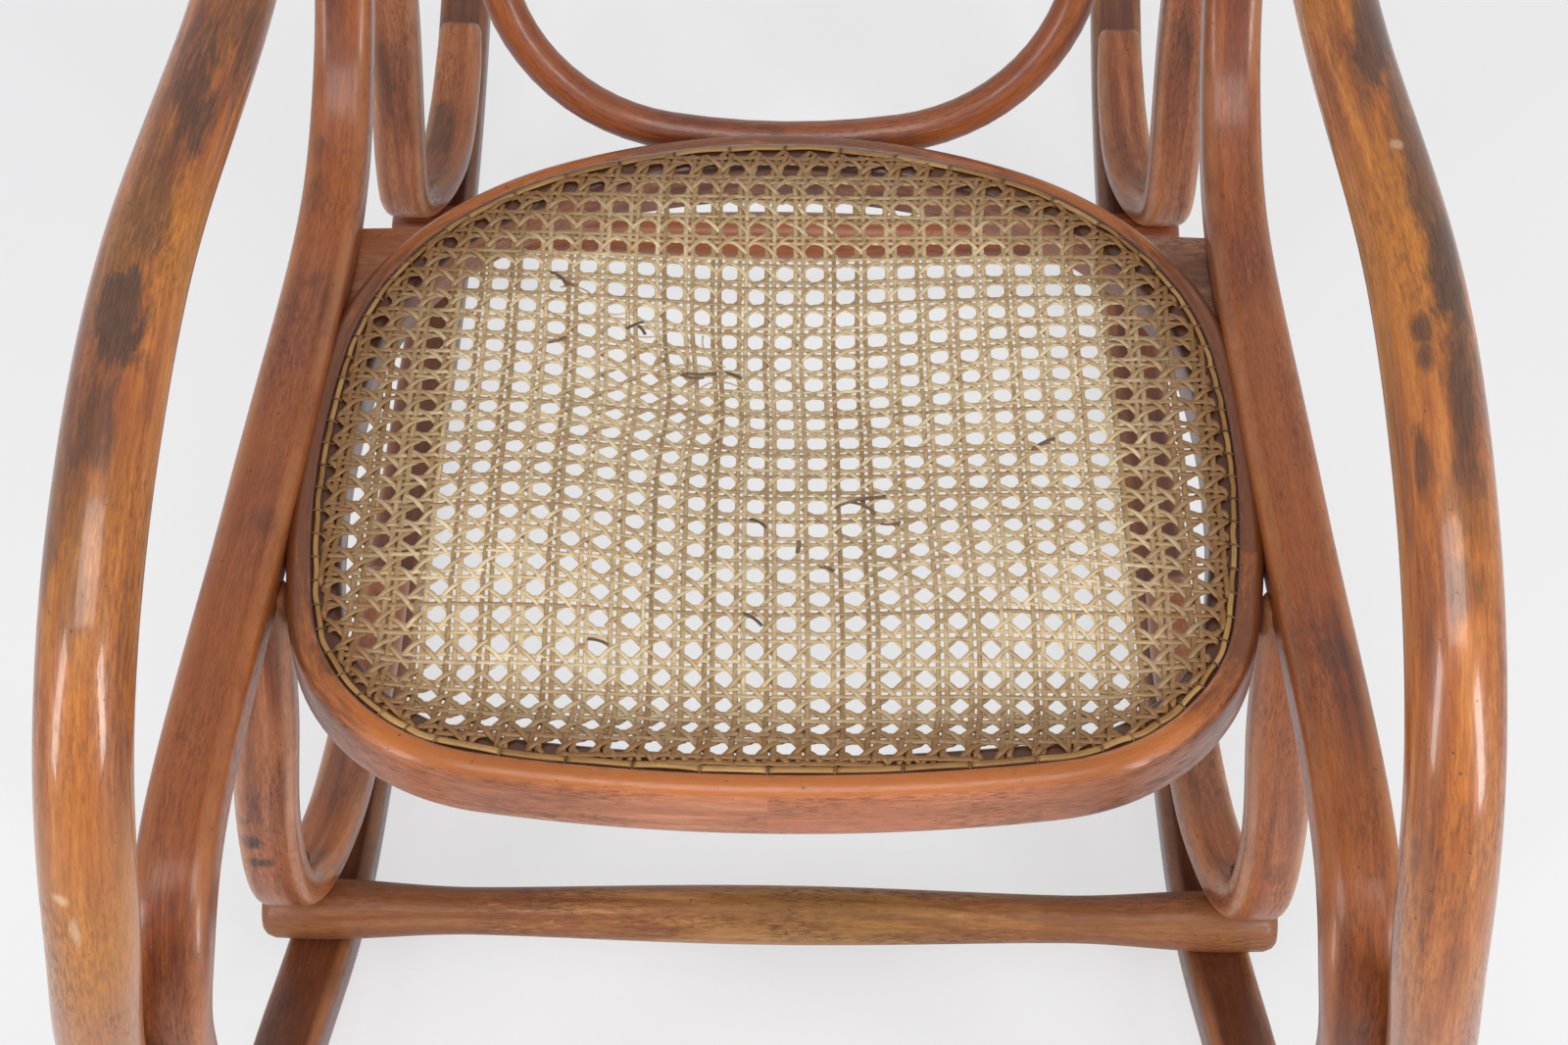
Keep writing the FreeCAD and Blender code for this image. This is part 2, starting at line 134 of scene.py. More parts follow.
def mix(tree, fac, a, b, blend="MIX"):
    node = addNode(tree, "ShaderNodeMix", data_type="RGBA", blend_type=blend)
    for value, slot in ((fac, 0), (a, 6), (b, 7)):
        feed(tree, value, node.inputs[slot])
    return node.outputs[2]


def maths(tree, operation, a, b):
    node = addNode(tree, "ShaderNodeMath", operation=operation)
    feed(tree, a, node.inputs[0])
    feed(tree, b, node.inputs[1])
    return node.outputs[0]


def plus(tree, a, b):
    return maths(tree, "ADD", a, b)


def times(tree, a, b):
    return maths(tree, "MULTIPLY", a, b)


def noise(tree, vector, scale, detail=3.0, rough=0.55, distortion=0.0):
    node = addNode(tree, "ShaderNodeTexNoise", Scale=scale, Detail=detail, Roughness=rough,
                   Distortion=distortion)
    tree.links.new(vector, node.inputs["Vector"])
    return node.outputs["Fac"]


def grain(tree, along, size, detail, rough=0.5, distortion=0.0):
    # noise drawn out along the bend; size is how often it repeats in a metre, across and along
    node = addNode(tree, "ShaderNodeMapping", Scale=(*size, 1))
    tree.links.new(along, node.inputs["Vector"])
    return noise(tree, node.outputs["Vector"], 1.0, detail, rough, distortion)


def grainUv(tree):
    return addNode(tree, "ShaderNodeUVMap", uv_map="grain").outputs["UV"]


def position(tree):
    return tree.nodes.new("ShaderNodeNewGeometry").outputs["Position"]


def field(tree, word):
    # a value that the mesh carries at each of its points
    return addNode(tree, "ShaderNodeAttribute", attribute_name=word).outputs["Fac"]


def addBump(tree, shader, height, strength, distance):
    node = addNode(tree, "ShaderNodeBump", Strength=strength, Distance=distance)
    tree.links.new(height, node.inputs["Height"])
    tree.links.new(node.outputs["Normal"], shader.inputs["Normal"])


def seenDirectly(tree):
    # the camera's own rays, and those that metal and glass send on
    rays = tree.nodes.new("ShaderNodeLightPath").outputs
    mirrored = maths(tree, "MAXIMUM", rays["Is Glossy Ray"], rays["Is Transmission Ray"])
    return maths(tree, "MAXIMUM", rays["Is Camera Ray"], mirrored)


def blendSurfaces(tree, fac, first, second, output):
    node = tree.nodes.new("ShaderNodeMixShader")
    for value, slot in ((fac, 0), (first, 1), (second, 2)):
        feed(tree, value, node.inputs[slot])
    tree.links.new(node.outputs["Shader"], tree.nodes[output].inputs["Surface"])


def srgb(r, g, b):
    # a colour picked by eye in a paint program, 0 to 255, as the shader wants it
    shares = [c / 255 for c in (r, g, b)]
    return tuple(s / 12.92 if s <= 0.04045 else ((s + 0.055) / 1.055) ** 2.4 for s in shares)


def spotMask(tree, where, spots, ragged):
    # each spot is (x, y, z, reach in x, y and z, strength), in metres; ragged frays its edge
    total = None
    for x, y, z, rx, ry, rz, strength in spots:
        moved = addNode(tree, "ShaderNodeMapping", Location=(-x / rx, -y / ry, -z / rz),
                        Scale=(1 / rx, 1 / ry, 1 / rz))
        tree.links.new(where, moved.inputs["Vector"])
        reach = addNode(tree, "ShaderNodeVectorMath", operation="LENGTH")
        tree.links.new(moved.outputs["Vector"], reach.inputs[0])
        mask = ramp(tree, plus(tree, reach.outputs["Value"], ragged), [(0.5, strength), (1.1, 0.0)])
        total = mask if total is None else maths(tree, "MAXIMUM", total, mask)
    return total


# how often each pattern of the wood repeats in a metre, across and along the bend
grainSizes = {
    "streaks": (170, 8), "fibres": (1500, 85), "pores": (1900, 190), "flecks": (1000, 130), "dirt": (45, 13),
    "frayed": (150, 26), "wear": (60, 16)}


def bentWood(name, look):
    # stained, steam-bent beech under old shellac; the UV runs along the bend, in metres
    mat, tree, shader = nodeTree(name)
    along = grainUv(tree)
    where = position(tree)

    streaks = grain(tree, along, grainSizes["streaks"], 6, 0.62, 0.5)
    colour = ramp(tree, streaks, [(0.3, look["dark"]), (0.5, look["middle"]), (0.7, look["light"])])
    clouds = noise(tree, where, look["cloudScale"], 3, 0.5, 0.3)
    colour = mix(tree, fade(tree, clouds, 0.4, 0.62, look["cloudAmount"]), colour, look["cloud"])

    # fibres, dark pores and the small flecks of beech
    fibres = grain(tree, along, grainSizes["fibres"], 4, 0.65)
    colour = mix(tree, 1.0, colour, ramp(tree, fibres, [(0.28, 0.68), (0.66, 1.14)]), "MULTIPLY")
    pores = grain(tree, along, grainSizes["pores"], 2)
    colour = mix(tree, fade(tree, pores, 0.64, 0.72, look["poreAmount"]), colour, look["patch"])
    flecks = grain(tree, along, grainSizes["flecks"], 4, 0.7)
    dirt = grain(tree, along, grainSizes["dirt"], 3)
    dirty = times(tree, fade(tree, flecks, 0.46, 0.6, 1.0), ramp(tree, dirt, [(0.42, 0.15), (0.6, 1.0)]))
    colour = mix(tree, times(tree, dirty, look["mottleAmount"]), colour, look["patch"])

    # old finish gone dark in long patches, with ragged ends
    patch = grain(tree, along, look["patchSize"], 5, 0.65, 0.8)
    burnt = fade(tree, patch, look["patchFrom"], look["patchFrom"] + 0.1, look["patchAmount"])
    colour = mix(tree, burnt, colour, look["patch"])
    frayed = grain(tree, along, grainSizes["frayed"], 6, 0.7, 0.4)
    ragged = times(tree, maths(tree, "SUBTRACT", frayed, 0.5), 2.4)
    if look["band"]:
        # colours by how far round the section a point lies, in tenths of a metre
        split = tree.nodes.new("ShaderNodeSeparateXYZ")
        tree.links.new(along, split.inputs[0])
        around = plus(tree, times(tree, split.outputs["X"], 10.0), times(tree, ragged, 0.006))
        for start, end, shade, amount in look["band"]:
            stops = [(start - 0.012, 0.0), (start, amount), (end, amount), (end + 0.012, 0.0)]
            colour = mix(tree, ramp(tree, around, stops), colour, shade)
    if look["stains"]:
        darkened = spotMask(tree, where, look["stains"], ragged)
        soft = times(tree, darkened, ramp(tree, fibres, [(0.25, 1.0), (0.75, 0.72)]))
        colour = mix(tree, soft, colour, look["stain"])

    # corners rubbed lighter, pale scuffs, small knocks
    wear = grain(tree, along, grainSizes["wear"], 5, 0.7)
    edges = ramp(tree, wear, [(0.35, 0.1), (0.6, look["cornerAmount"])])
    colour = mix(tree, times(tree, field(tree, "corner"), edges), colour, look["rub"])
    rubbed = fade(tree, wear, 0.66, 0.74, look["rubAmount"])
    colour = mix(tree, rubbed, colour, look["rub"])
    if look["scuffs"]:
        colour = mix(tree, spotMask(tree, where, look["scuffs"], ragged), colour, look["scuff"])
    nick = fade(tree, noise(tree, where, 330, 2, 0.5), 0.72, 0.76, look["nickAmount"])
    tree.links.new(mix(tree, nick, colour, look["nick"]), shader.inputs["Base Color"])

    sheen = plus(tree, times(tree, clouds, look["glossVaries"]), look["gloss"])
    sheen = plus(tree, sheen, times(tree, dirty, 0.16))
    tree.links.new(plus(tree, sheen, times(tree, rubbed, 0.2)), shader.inputs["Roughness"])
    shader.inputs["Coat Weight"].default_value = look["coat"]
    shader.inputs["Coat Roughness"].default_value = look["coatRoughness"]
    shader.inputs["IOR"].default_value = 1.45
    ripple = plus(tree, times(tree, noise(tree, where, 45, 2), 0.9), times(tree, fibres, 0.3))
    addBump(tree, shader, maths(tree, "SUBTRACT", ripple, times(tree, nick, 0.5)), look["bump"], 0.0006)
    return mat


def trail(points, across, lengthways, strength, deep=0.03):
    # overlapping stains along a line
    spots = []
    for start, end in zip(points, points[1:]):
        for share in (0.0, 0.5):
            middle = tuple(a + (b - a) * share for a, b in zip(start, end))
            spots.append(middle + (across, lengthways, deep, strength))
    return spots


brownWood = {
    "dark": srgb(92, 44, 22), "middle": srgb(130, 66, 34), "light": srgb(164, 94, 52),
    "cloud": srgb(164, 90, 38), "cloudScale": 9.0, "cloudAmount": 0.6, "poreAmount": 0.45,
    "mottleAmount": 0.55,
    "patch": srgb(58, 30, 20), "patchSize": (14, 5), "patchFrom": 0.56, "patchAmount": 0.6,
    "stain": srgb(46, 34, 30), "scuff": srgb(226, 190, 156), "scuffs": [], "band": [],
    "stains": [(-0.2312, -0.0302, 0.3557, 0.006, 0.008, 0.02, 0.6),
               (-0.231, 0.23, 0.104, 0.03, 0.02, 0.03, 0.75), (-0.203, 0.305, 0.108, 0.02, 0.03, 0.03, 0.7),
               (-0.2265, -0.27, 0.36, 0.01, 0.01, 0.02, 0.4), (0.243, -0.34, 0.362, 0.01, 0.012, 0.02, 0.5),
               (-0.238, -0.06, 0.355, 0.02, 0.02, 0.02, 0.4)],
    "rub": srgb(190, 124, 76), "rubAmount": 0.35, "cornerAmount": 0.6,
    "nick": srgb(48, 26, 18), "nickAmount": 0.7,
    "gloss": 0.24, "glossVaries": 0.24, "coat": 0.22, "coatRoughness": 0.16, "bump": 0.35}

armWood = dict(
    brownWood, dark=srgb(112, 54, 16), middle=srgb(162, 88, 32), light=srgb(200, 126, 54),
    cloud=srgb(186, 116, 28), cloudScale=7.0, cloudAmount=0.7, patch=srgb(72, 36, 14), mottleAmount=0.5,
    patchSize=(26, 9), patchFrom=0.6, rub=srgb(214, 150, 96), rubAmount=0.5, cornerAmount=0.0,
    stain=srgb(46, 26, 18), gloss=0.2, coat=0.5, coatRoughness=0.09, bump=0.5,
    scuffs=[(-0.256, -0.526, 0.452, 0.004, 0.02, 0.004, 0.5), (-0.253, -0.53, 0.437, 0.003, 0.02, 0.010, 0.4),
            (0.240, -0.268, 0.5985, 0.003, 0.003, 0.02, 0.35)],
    stains=[(-0.224, -0.243, 0.594, 0.011, 0.05, 0.03, 0.95), (-0.233, -0.300, 0.588, 0.010, 0.045, 0.03, 0.75),
            (-0.239, -0.352, 0.579, 0.013, 0.042, 0.03, 1.0), (-0.244, -0.395, 0.569, 0.011, 0.035, 0.03, 0.8),
            (-0.259, -0.42, 0.555, 0.007, 0.045, 0.04, 0.55), (-0.246, -0.46, 0.545, 0.007, 0.035, 0.03, 0.5),
            (-0.209, -0.20, 0.598, 0.014, 0.05, 0.03, 0.7), (0.236, -0.205, 0.598, 0.014, 0.06, 0.03, 0.95),
            (0.2475, -0.272, 0.590, 0.010, 0.05, 0.03, 0.85), (0.2545, -0.325, 0.582, 0.011, 0.045, 0.03, 1.0),
            (0.254, -0.372, 0.575, 0.010, 0.04, 0.03, 0.9), (0.253, -0.42, 0.562, 0.009, 0.03, 0.03, 0.45),
            (0.252, -0.448, 0.551, 0.010, 0.014, 0.02, 0.55), (0.242, -0.350, 0.584, 0.005, 0.008, 0.02, 0.9),
            (0.2425, -0.3635, 0.582, 0.005, 0.009, 0.02, 0.9), (0.2385, -0.404, 0.57, 0.004, 0.02, 0.02, 0.8)]
    + trail([(-0.196, -0.13, 0.6), (-0.212, -0.2, 0.598), (-0.228, -0.25, 0.594), (-0.238, -0.31, 0.587),
             (-0.243, -0.36, 0.578), (-0.247, -0.40, 0.568), (-0.252, -0.44, 0.55)], 0.013, 0.04, 0.6)
    + trail([(0.222, -0.13, 0.6), (0.238, -0.205, 0.598), (0.249, -0.272, 0.590), (0.256, -0.325, 0.582),
             (0.255, -0.372, 0.575), (0.254, -0.42, 0.562)], 0.008, 0.035, 0.75))

scrollWood = dict(
    brownWood, middle=srgb(148, 82, 46), light=srgb(186, 120, 78), cloud=srgb(176, 104, 60),
    rub=srgb(206, 146, 104), rubAmount=0.55,
    stains=[(-0.2565, -0.318, 0.186, 0.006, 0.012, 0.006, 0.8),
            (-0.2545, -0.317, 0.166, 0.007, 0.012, 0.007, 0.95),
            (-0.252, -0.317, 0.147, 0.009, 0.012, 0.005, 0.9),
            (-0.2255, 0.2499, 0.1032, 0.02, 0.03, 0.03, 0.7), (0.246, -0.318, 0.15, 0.008, 0.012, 0.014, 0.4)])

ringWood = dict(
    brownWood, dark=srgb(120, 68, 44), middle=srgb(164, 100, 68), light=srgb(208, 146, 110),
    cloud=srgb(184, 112, 74), patchFrom=0.64, rub=srgb(218, 164, 130), rubAmount=0.4, cornerAmount=0.2,
    mottleAmount=0.6, stain=srgb(72, 36, 22),
    # the ring is darker towards its left and right sides and across the back, placed by position
    stains=[(-0.226, -0.2, 0.35, 0.08, 0.28, 0.2, 0.85), (0.226, -0.2, 0.35, 0.08, 0.28, 0.2, 0.85),
            (0, 0.03, 0.33, 0.2, 0.08, 0.2, 0.8)],
    # bands round the section: an amber brow, then painted shade darkening the ring's bed under the cane
    band=[(0.50, 0.58, srgb(176, 98, 26), 0.7), (0.606, 0.76, srgb(64, 38, 20), 0.92)])

railWood = dict(
    brownWood, dark=srgb(126, 74, 38), middle=srgb(178, 116, 66), light=srgb(218, 166, 102),
    cloud=srgb(190, 136, 70), patchFrom=0.62, rub=srgb(222, 180, 124), rubAmount=0.75, mottleAmount=0.8,
    gloss=0.32, coat=0.12, stain=srgb(112, 58, 34),
    stains=[(-0.235, -0.3, 0.12, 0.2, 0.6, 0.6, 0.8), (0.235, -0.3, 0.12, 0.2, 0.6, 0.6, 0.8)])

runnerWood = dict(
    brownWood, dark=srgb(66, 34, 20), middle=srgb(96, 52, 32), light=srgb(124, 74, 46), cloud=srgb(112, 60, 34))

# greyer brown: partly dust, partly a painted reflection of the pale room
blockWood = dict(brownWood, dark=srgb(108, 72, 54), middle=srgb(144, 102, 80), light=srgb(174, 132, 108))

materials = {
    "brown": bentWood("stainedBeech", brownWood),
    "scroll": bentWood("scrollBeech", scrollWood),
    "arm": bentWood("wornArmBeech", armWood),
    "ring": bentWood("seatRingBeech", ringWood),
    "rail": bentWood("turnedRailBeech", railWood),
    "block": bentWood("blockBeech", blockWood),
    "runner": bentWood("darkRunnerBeech", runnerWood)}


def caneSkin(name, look):
    # split cane: pale glossy bark with a per-strand tone, browner where the seat meets its ring
    mat, tree, shader = nodeTree(name)
    tones = [(0.0, look["dark"]), (0.45, look["middle"]), (1.0, look["light"])]
    colour = ramp(tree, field(tree, "tone"), tones)
    fibres = grain(tree, grainUv(tree), (1600, 60), 3, 0.6)
    colour = mix(tree, 1.0, colour, ramp(tree, fibres, [(0.25, 0.55), (0.7, 1.12)]), "MULTIPLY")
    blotch = noise(tree, position(tree), 130, 3, 0.6)
    colour = mix(tree, fade(tree, blotch, 0.5, 0.7, 0.6), colour, look["blotch"])
    colour = mix(tree, times(tree, field(tree, "edge"), look["edgeAmount"]), colour, look["edge"])
    tree.links.new(colour, shader.inputs["Base Color"])
    shader.inputs["Roughness"].default_value = 0.42
    addBump(tree, shader, fibres, 0.4, 0.0003)
    return mat


caneLook = {
    "dark": srgb(164, 134, 92), "middle": srgb(206, 180, 136), "light": srgb(230, 210, 170),
    "blotch": srgb(162, 122, 76), "edge": srgb(124, 82, 36), "edgeAmount": 1.0}
binderLook = dict(
    caneLook, dark=srgb(120, 82, 36), middle=srgb(166, 122, 62), light=srgb(200, 158, 98), edgeAmount=0.2)
tieLook = dict(
    caneLook, dark=srgb(52, 34, 20), middle=srgb(92, 62, 34), light=srgb(130, 92, 50), edgeAmount=0.0)
materials["cane"] = caneSkin("splitCane", caneLook)
materials["binder"] = caneSkin("binderCane", binderLook)
materials["tie"] = caneSkin("tieCane", tieLook)
materials["brokenCane"] = caneSkin("brokenCane", dict(tieLook, middle=srgb(104, 78, 58)))


screwLook = {"steel": srgb(96, 54, 32), "roughness": 0.35, "metallic": 0.1}


def lacqueredSteel(name, look):
    # steel under the same brown lacquer as the wood, rubbed lighter in specks
    mat, tree, shader = nodeTree(name)
    speck = noise(tree, position(tree), 700, 3, 0.6)
    worn = tuple(min(1.0, c * 1.7 + 0.02) for c in look["steel"])
    colour = mix(tree, fade(tree, speck, 0.45, 0.75, 0.7), look["steel"], worn)
    tree.links.new(colour, shader.inputs["Base Color"])
    tree.links.new(plus(tree, times(tree, speck, 0.3), look["roughness"]), shader.inputs["Roughness"])
    shader.inputs["Metallic"].default_value = look["metallic"]
    return mat


materials["screw"] = lacqueredSteel("lacqueredScrew", screwLook)
print("materials made")


# bent members, swept along smooth paths

def smoothCurve(marks, values):
    # natural cubic spline through values at marks; returns a function of the mark
    marks = np.asarray(marks, float)
    values = np.asarray(values, float)
    n = len(marks)
    h = np.diff(marks)
    system = np.eye(n)
    right = np.zeros_like(values)
    for i in range(1, n - 1):
        system[i, i - 1:i + 2] = h[i - 1], 2 * (h[i - 1] + h[i]), h[i]
        right[i] = 6 * ((values[i + 1] - values[i]) / h[i] - (values[i] - values[i - 1]) / h[i - 1])
    second = np.linalg.solve(system, right)

    def at(t):
        i = int(min(max(np.searchsorted(marks, t) - 1, 0), n - 2))
        a = (marks[i + 1] - t) / h[i]
        b = 1 - a
        bend = ((a ** 3 - a) * second[i] + (b ** 3 - b) * second[i + 1]) * h[i] ** 2 / 6
        return a * values[i] + b * values[i + 1] + bend
    return at


def runAlong(points):
    # how far along a line of points each one lies
    return np.concatenate([[0], np.cumsum(np.linalg.norm(np.diff(points, axis=0), axis=1))])


def roundedOutline(wide, deep, corner, sides):
    # points round a rectangle with rounded corners, evenly spaced, and how far round each is
    r = min(corner, wide / 2, deep / 2)
    arcSteps = 12
    dense = []
    for quarter, (su, sv) in enumerate(((1, 1), (-1, 1), (-1, -1), (1, -1))):
        for k in range(arcSteps + 1):
            t = math.pi / 2 * (quarter + k / arcSteps)
            dense.append((su * (wide / 2 - r) + r * math.cos(t), sv * (deep / 2 - r) + r * math.sin(t)))
    dense = np.array(dense + dense[:1])
    run = runAlong(dense)
    spots = np.linspace(0, run[-1], sides + 1)[:-1]
    return np.stack([np.interp(spots, run, dense[:, 0]), np.interp(spots, run, dense[:, 1])], 1), spots


def addObject(name, data):
    thing = bpy.data.objects.new(name, data)
    bpy.context.scene.collection.objects.link(thing)
    return thing


def camel(words):
    return words[0] + "".join(word.capitalize() for word in words[1:])


def writeField(piece, word, values):
    layer = piece.data.attributes.new(word, "FLOAT", "POINT")
    layer.data.foreach_set("value", np.asarray(values, np.float32))


def finishMesh(name, verts, faces, uvs, material, replaced, smooth=True):
    mesh = bpy.data.meshes.new(name)
    mesh.from_pydata([tuple(v) for v in verts], [], faces)
    layer = mesh.uv_layers.new(name="grain")
    layer.data.foreach_set("uv", np.asarray(uvs, np.float32).ravel())
    mesh.polygons.foreach_set("use_smooth", [smooth] * len(mesh.polygons))
    mesh.update()
    piece = addObject(name, mesh)
    mesh.materials.append(material)
    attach(piece, "root")
    if replaced:
        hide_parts(*replaced)
    return piece


def tubeFaces(rings, sides, closed=False):
    faces = []
    spans = rings if closed else rings - 1
    for i in range(spans):
        a = i * sides
        b = ((i + 1) % rings) * sides
        for k in range(sides):
            n = (k + 1) % sides
            faces.append((a + k, a + n, b + n, b + k))
    return faces


def tubeUvs(rings, sides, around, lengths, girth, offset, closed=False):
    uvs = []
    spans = rings if closed else rings - 1
    for i in range(spans):
        v0 = lengths[i] * mm + offset
        v1 = lengths[i + 1] * mm + offset
        for k in range(sides):
            u0 = around[k] * mm
            u1 = (around[k + 1] if k + 1 < sides else girth) * mm
            uvs += [(u0, v0), (u1, v0), (u1, v1), (u0, v1)]
    return uvs


def endFaces(rings, sides):
    # the flat ends of a tube
    return [tuple(reversed(range(sides))), tuple(range((rings - 1) * sides, rings * sides))]


def endUvs(sides):
    return [(0.001 * k, 0.0) for k in range(sides)] * 2


def turnedOver(faces, uvs):
    # the same faces seen from their other side
    flipped = []
    at = 0
    for face in faces:
        flipped += reversed(uvs[at:at + len(face)])
        at += len(face)
    return [tuple(reversed(face)) for face in faces], flipped


# every bent member: eased ends, and a section that is never quite true, in millimetres
bending = {"step": 4.0, "endEase": 1.2, "easeReach": 1.5, "longWave": 37.0, "shortWave": 17.0, "rodCorner": 12.0}


def sweep(stations, corner, across, sides, waviness):
    # rings of points along a bent member in the maker's millimetres
    centres = np.array([s[:3] for s in stations], float)
    marks = runAlong(centres)
    path = smoothCurve(marks, centres)
    count = max(2, int(marks[-1] / bending["step"]) + 1)
    places = np.linspace(0, marks[-1], count)
    across = np.array(across, float)
    points = []
    corners = []
    around = None
    for t in places:
        centre = path(t)
        along = path(min(t + 0.5, marks[-1])) - path(max(t - 0.5, 0))
        along /= np.linalg.norm(along)
        u = across - along * along.dot(across)
        u /= np.linalg.norm(u)
        v = np.cross(along, u)
        wide = np.interp(t, marks, [s[3] for s in stations])
        deep = np.interp(t, marks, [s[4] for s in stations])
        ease = bending["endEase"] * (1 - min(min(t, marks[-1] - t) / bending["easeReach"], 1.0))
        wave = waviness * math.sin(t / bending["longWave"] + stations[0][0])
        wave += waviness * 0.7 * math.sin(t / bending["shortWave"])
        outline, spots = roundedOutline(wide - 2 * ease + wave, deep - 2 * ease - wave * 0.6, corner, sides)
        if around is None:
            around = spots
        points.append(centre + outline[:, :1] * u + outline[:, 1:] * v)
        # a rod has no corners to rub light
        reach = np.abs(outline) - (np.array((wide, deep)) / 2 - corner)
        squared = corner < bending["rodCorner"]
        corners.append(np.clip(reach.min(1) / corner / 0.6, 0, 1) if squared else np.zeros(sides))
    return np.array(points), places, around, np.concatenate(corners)


def sliced(piece, cuts):
    # saws the piece along planes, (point, direction of the waste) in the maker's millimetres
    reach = 0.11
    for at, waste in cuts:
        bm = bmesh.new()
        bm.from_mesh(piece.data)
        flank = (restTurn @ Vector(waste)).normalized()
        middle = place(at)
        parts = [v for v in bm.verts if (v.co - middle).length < reach]
        near = set(parts)
        parts += [e for e in bm.edges if near.issuperset(e.verts)]
        parts += [f for f in bm.faces if near.issuperset(f.verts)]
        bmesh.ops.bisect_plane(bm, geom=parts, plane_co=middle, plane_no=flank, clear_outer=True)
        bmesh.ops.holes_fill(bm, edges=[e for e in bm.edges if e.is_boundary])
        bm.to_mesh(piece.data)
        bm.free()


def bentMember(name, stations, corner, woodName, across=(1, 0, 0), sides=32, cuts=(), bothSides=True,
               waviness=0.25):
    # one bent length, and its twin on the left, bent to the same pattern
    for side, label in (((1, "Right"), (-1, "Left")) if bothSides else ((1, ""),)):
        leaning = []
        for x, y, z, wide, deep in stations:
            x, y, z = racked(side * x, y, z)
            leaning.append((side * x, y, z, wide, deep))
        points, lengths, around, corners = sweep(leaning, corner, across, sides, waviness)
        rings = len(points)
        verts = [place((p[0] * side, p[1], p[2])) for p in points.reshape(-1, 3)]
        faces = tubeFaces(rings, sides) + endFaces(rings, sides)
        uvs = tubeUvs(rings, sides, around, lengths, around[1] * sides, 0.0 if side > 0 else 5.3)
        uvs += endUvs(sides)
        if side < 0:
            faces, uvs = turnedOver(faces, uvs)
        node = name + "_" + label.lower() if bothSides else name
        label = camel(name.split("_")) + label
        piece = finishMesh(label, verts, faces, uvs, materials[woodName], [node])
        writeField(piece, "corner", corners)
        sliced(piece, [(racked(side * x, y, z), (side * wx, wy, wz)) for (x, y, z), (wx, wy, wz) in cuts])


# the back: posts, crest and hoop
back = {
    "recline": 20.0, "postBaseY": 300.8, "postBaseZ": 419.5, "postWide": 28.0, "postDeep": 24.0,
    "crestHeight": 1031.0, "crestTopRadius": 400.0, "crestCornerRadius": 173.0, "bowTurn": 9.0,
    "lapHeight": 795.0, "lapAcross": 212.0, "lapAngle": 13.0}
lean = math.radians(back["recline"])


def reclineY(z):
    return back["postBaseY"] + (z - back["postBaseZ"]) * math.tan(lean)


def bowQuarter(topRadius, cornerRadius, bends=9):
    # half of a bow from its middle to its side: two tangent arcs of (across, drop)
    turn = math.radians(back["bowTurn"])
    spots = [(topRadius * math.sin(s * turn), topRadius * (1 - math.cos(s * turn))) for s in (0, 0.34, 0.67, 1)]
    cx = spots[-1][0] - cornerRadius * math.sin(turn)
    cy = spots[-1][1] + cornerRadius * math.cos(turn)
    for k in range(bends):
        t = turn + (k + 1) / bends * (math.pi / 2 - turn)
        spots.append((cx + cornerRadius * math.sin(t), cy - cornerRadius * math.cos(t)))
    return spots


topTurn = math.radians(back["recline"] + back["lapAngle"])
topNormal = Vector((0, math.cos(topTurn), -math.sin(topTurn)))
topLap = (back["lapAcross"], reclineY(back["lapHeight"]), back["lapHeight"])
runnerLap = (251.5, -237, 222)
lowTurn = math.radians(back["lapAngle"])
lowNormal = Vector((0, -math.cos(lowTurn), -math.sin(lowTurn)))

# a station of a bent member: (x, y, z, wide, deep)
post = [(x, reclineY(z), z, back["postWide"], back["postDeep"])
        for x, z in ((211, 850), (213.5, 700), (216, 600), (219, 500))]
sideFrame = {"corner": 7.5, "stations": post + [
    (221, reclineY(440), 440, 28, 24.5), (222, 288, 392, 28.5, 25),
    (223, 262, 362, 29, 25.5), (223.5, 218, 340.5, 30, 26), (225, 160, 335, 31, 26), (228.5, 77, 343.5, 32, 26),
    (233.5, -18, 353.5, 32, 26), (238, -95, 361.5, 32, 26), (241, -165, 368.5, 32.5, 26),
    (241.5, -205, 366, 33, 26), (242.5, -230, 348, 33, 26), (246, -240, 316, 32, 26),
    (249.5, -239, 270, 31, 25.5), (251.5, -237, 220, 30.5, 25), (252.5, -236, 165, 30, 24)]}
bentMember("side_frame", sideFrame["stations"], sideFrame["corner"], "brown",
           cuts=[(runnerLap, lowNormal), (topLap, -topNormal)])

crestSpots = bowQuarter(back["crestTopRadius"], back["crestCornerRadius"])
crestHeights = [(212.7, 740), (212, 795)]
crestHeights += [(across, back["crestHeight"] - drop * math.cos(lean)) for across, drop in reversed(crestSpots)]
crestHalf = [(x, reclineY(z), z, back["postDeep"], back["postWide"]) for x, z in crestHeights]
crestStations = crestHalf + [(-x, y, z, w, d) for x, y, z, w, d in reversed(crestHalf[:-1])]
bentMember("crest_bow", crestStations, sideFrame["corner"], "arm",
           across=(0, math.cos(lean), -math.sin(lean)),
           cuts=[(topLap, topNormal), ((-topLap[0], topLap[1], topLap[2]), topNormal)], bothSides=False)

hoop = {
    "rod": 19.5, "endRadius": 380.0, "cornerRadius": 105.0, "baseY": 264.6, "baseZ": 315.0, "length": 739.0,
    "sides": 28, "steps": 40}


def hoopOval():
    quarter = bowQuarter(hoop["endRadius"], hoop["cornerRadius"], 14)
    x, drop = quarter[-1]
    straight = [(x, drop + k * (hoop["length"] - 2 * drop) / hoop["steps"]) for k in range(1, hoop["steps"])]
    half = quarter + straight + [(x, hoop["length"] - drop) for x, drop in reversed(quarter)]
    return half + [(-x, rise) for x, rise in reversed(half[1:-1])]


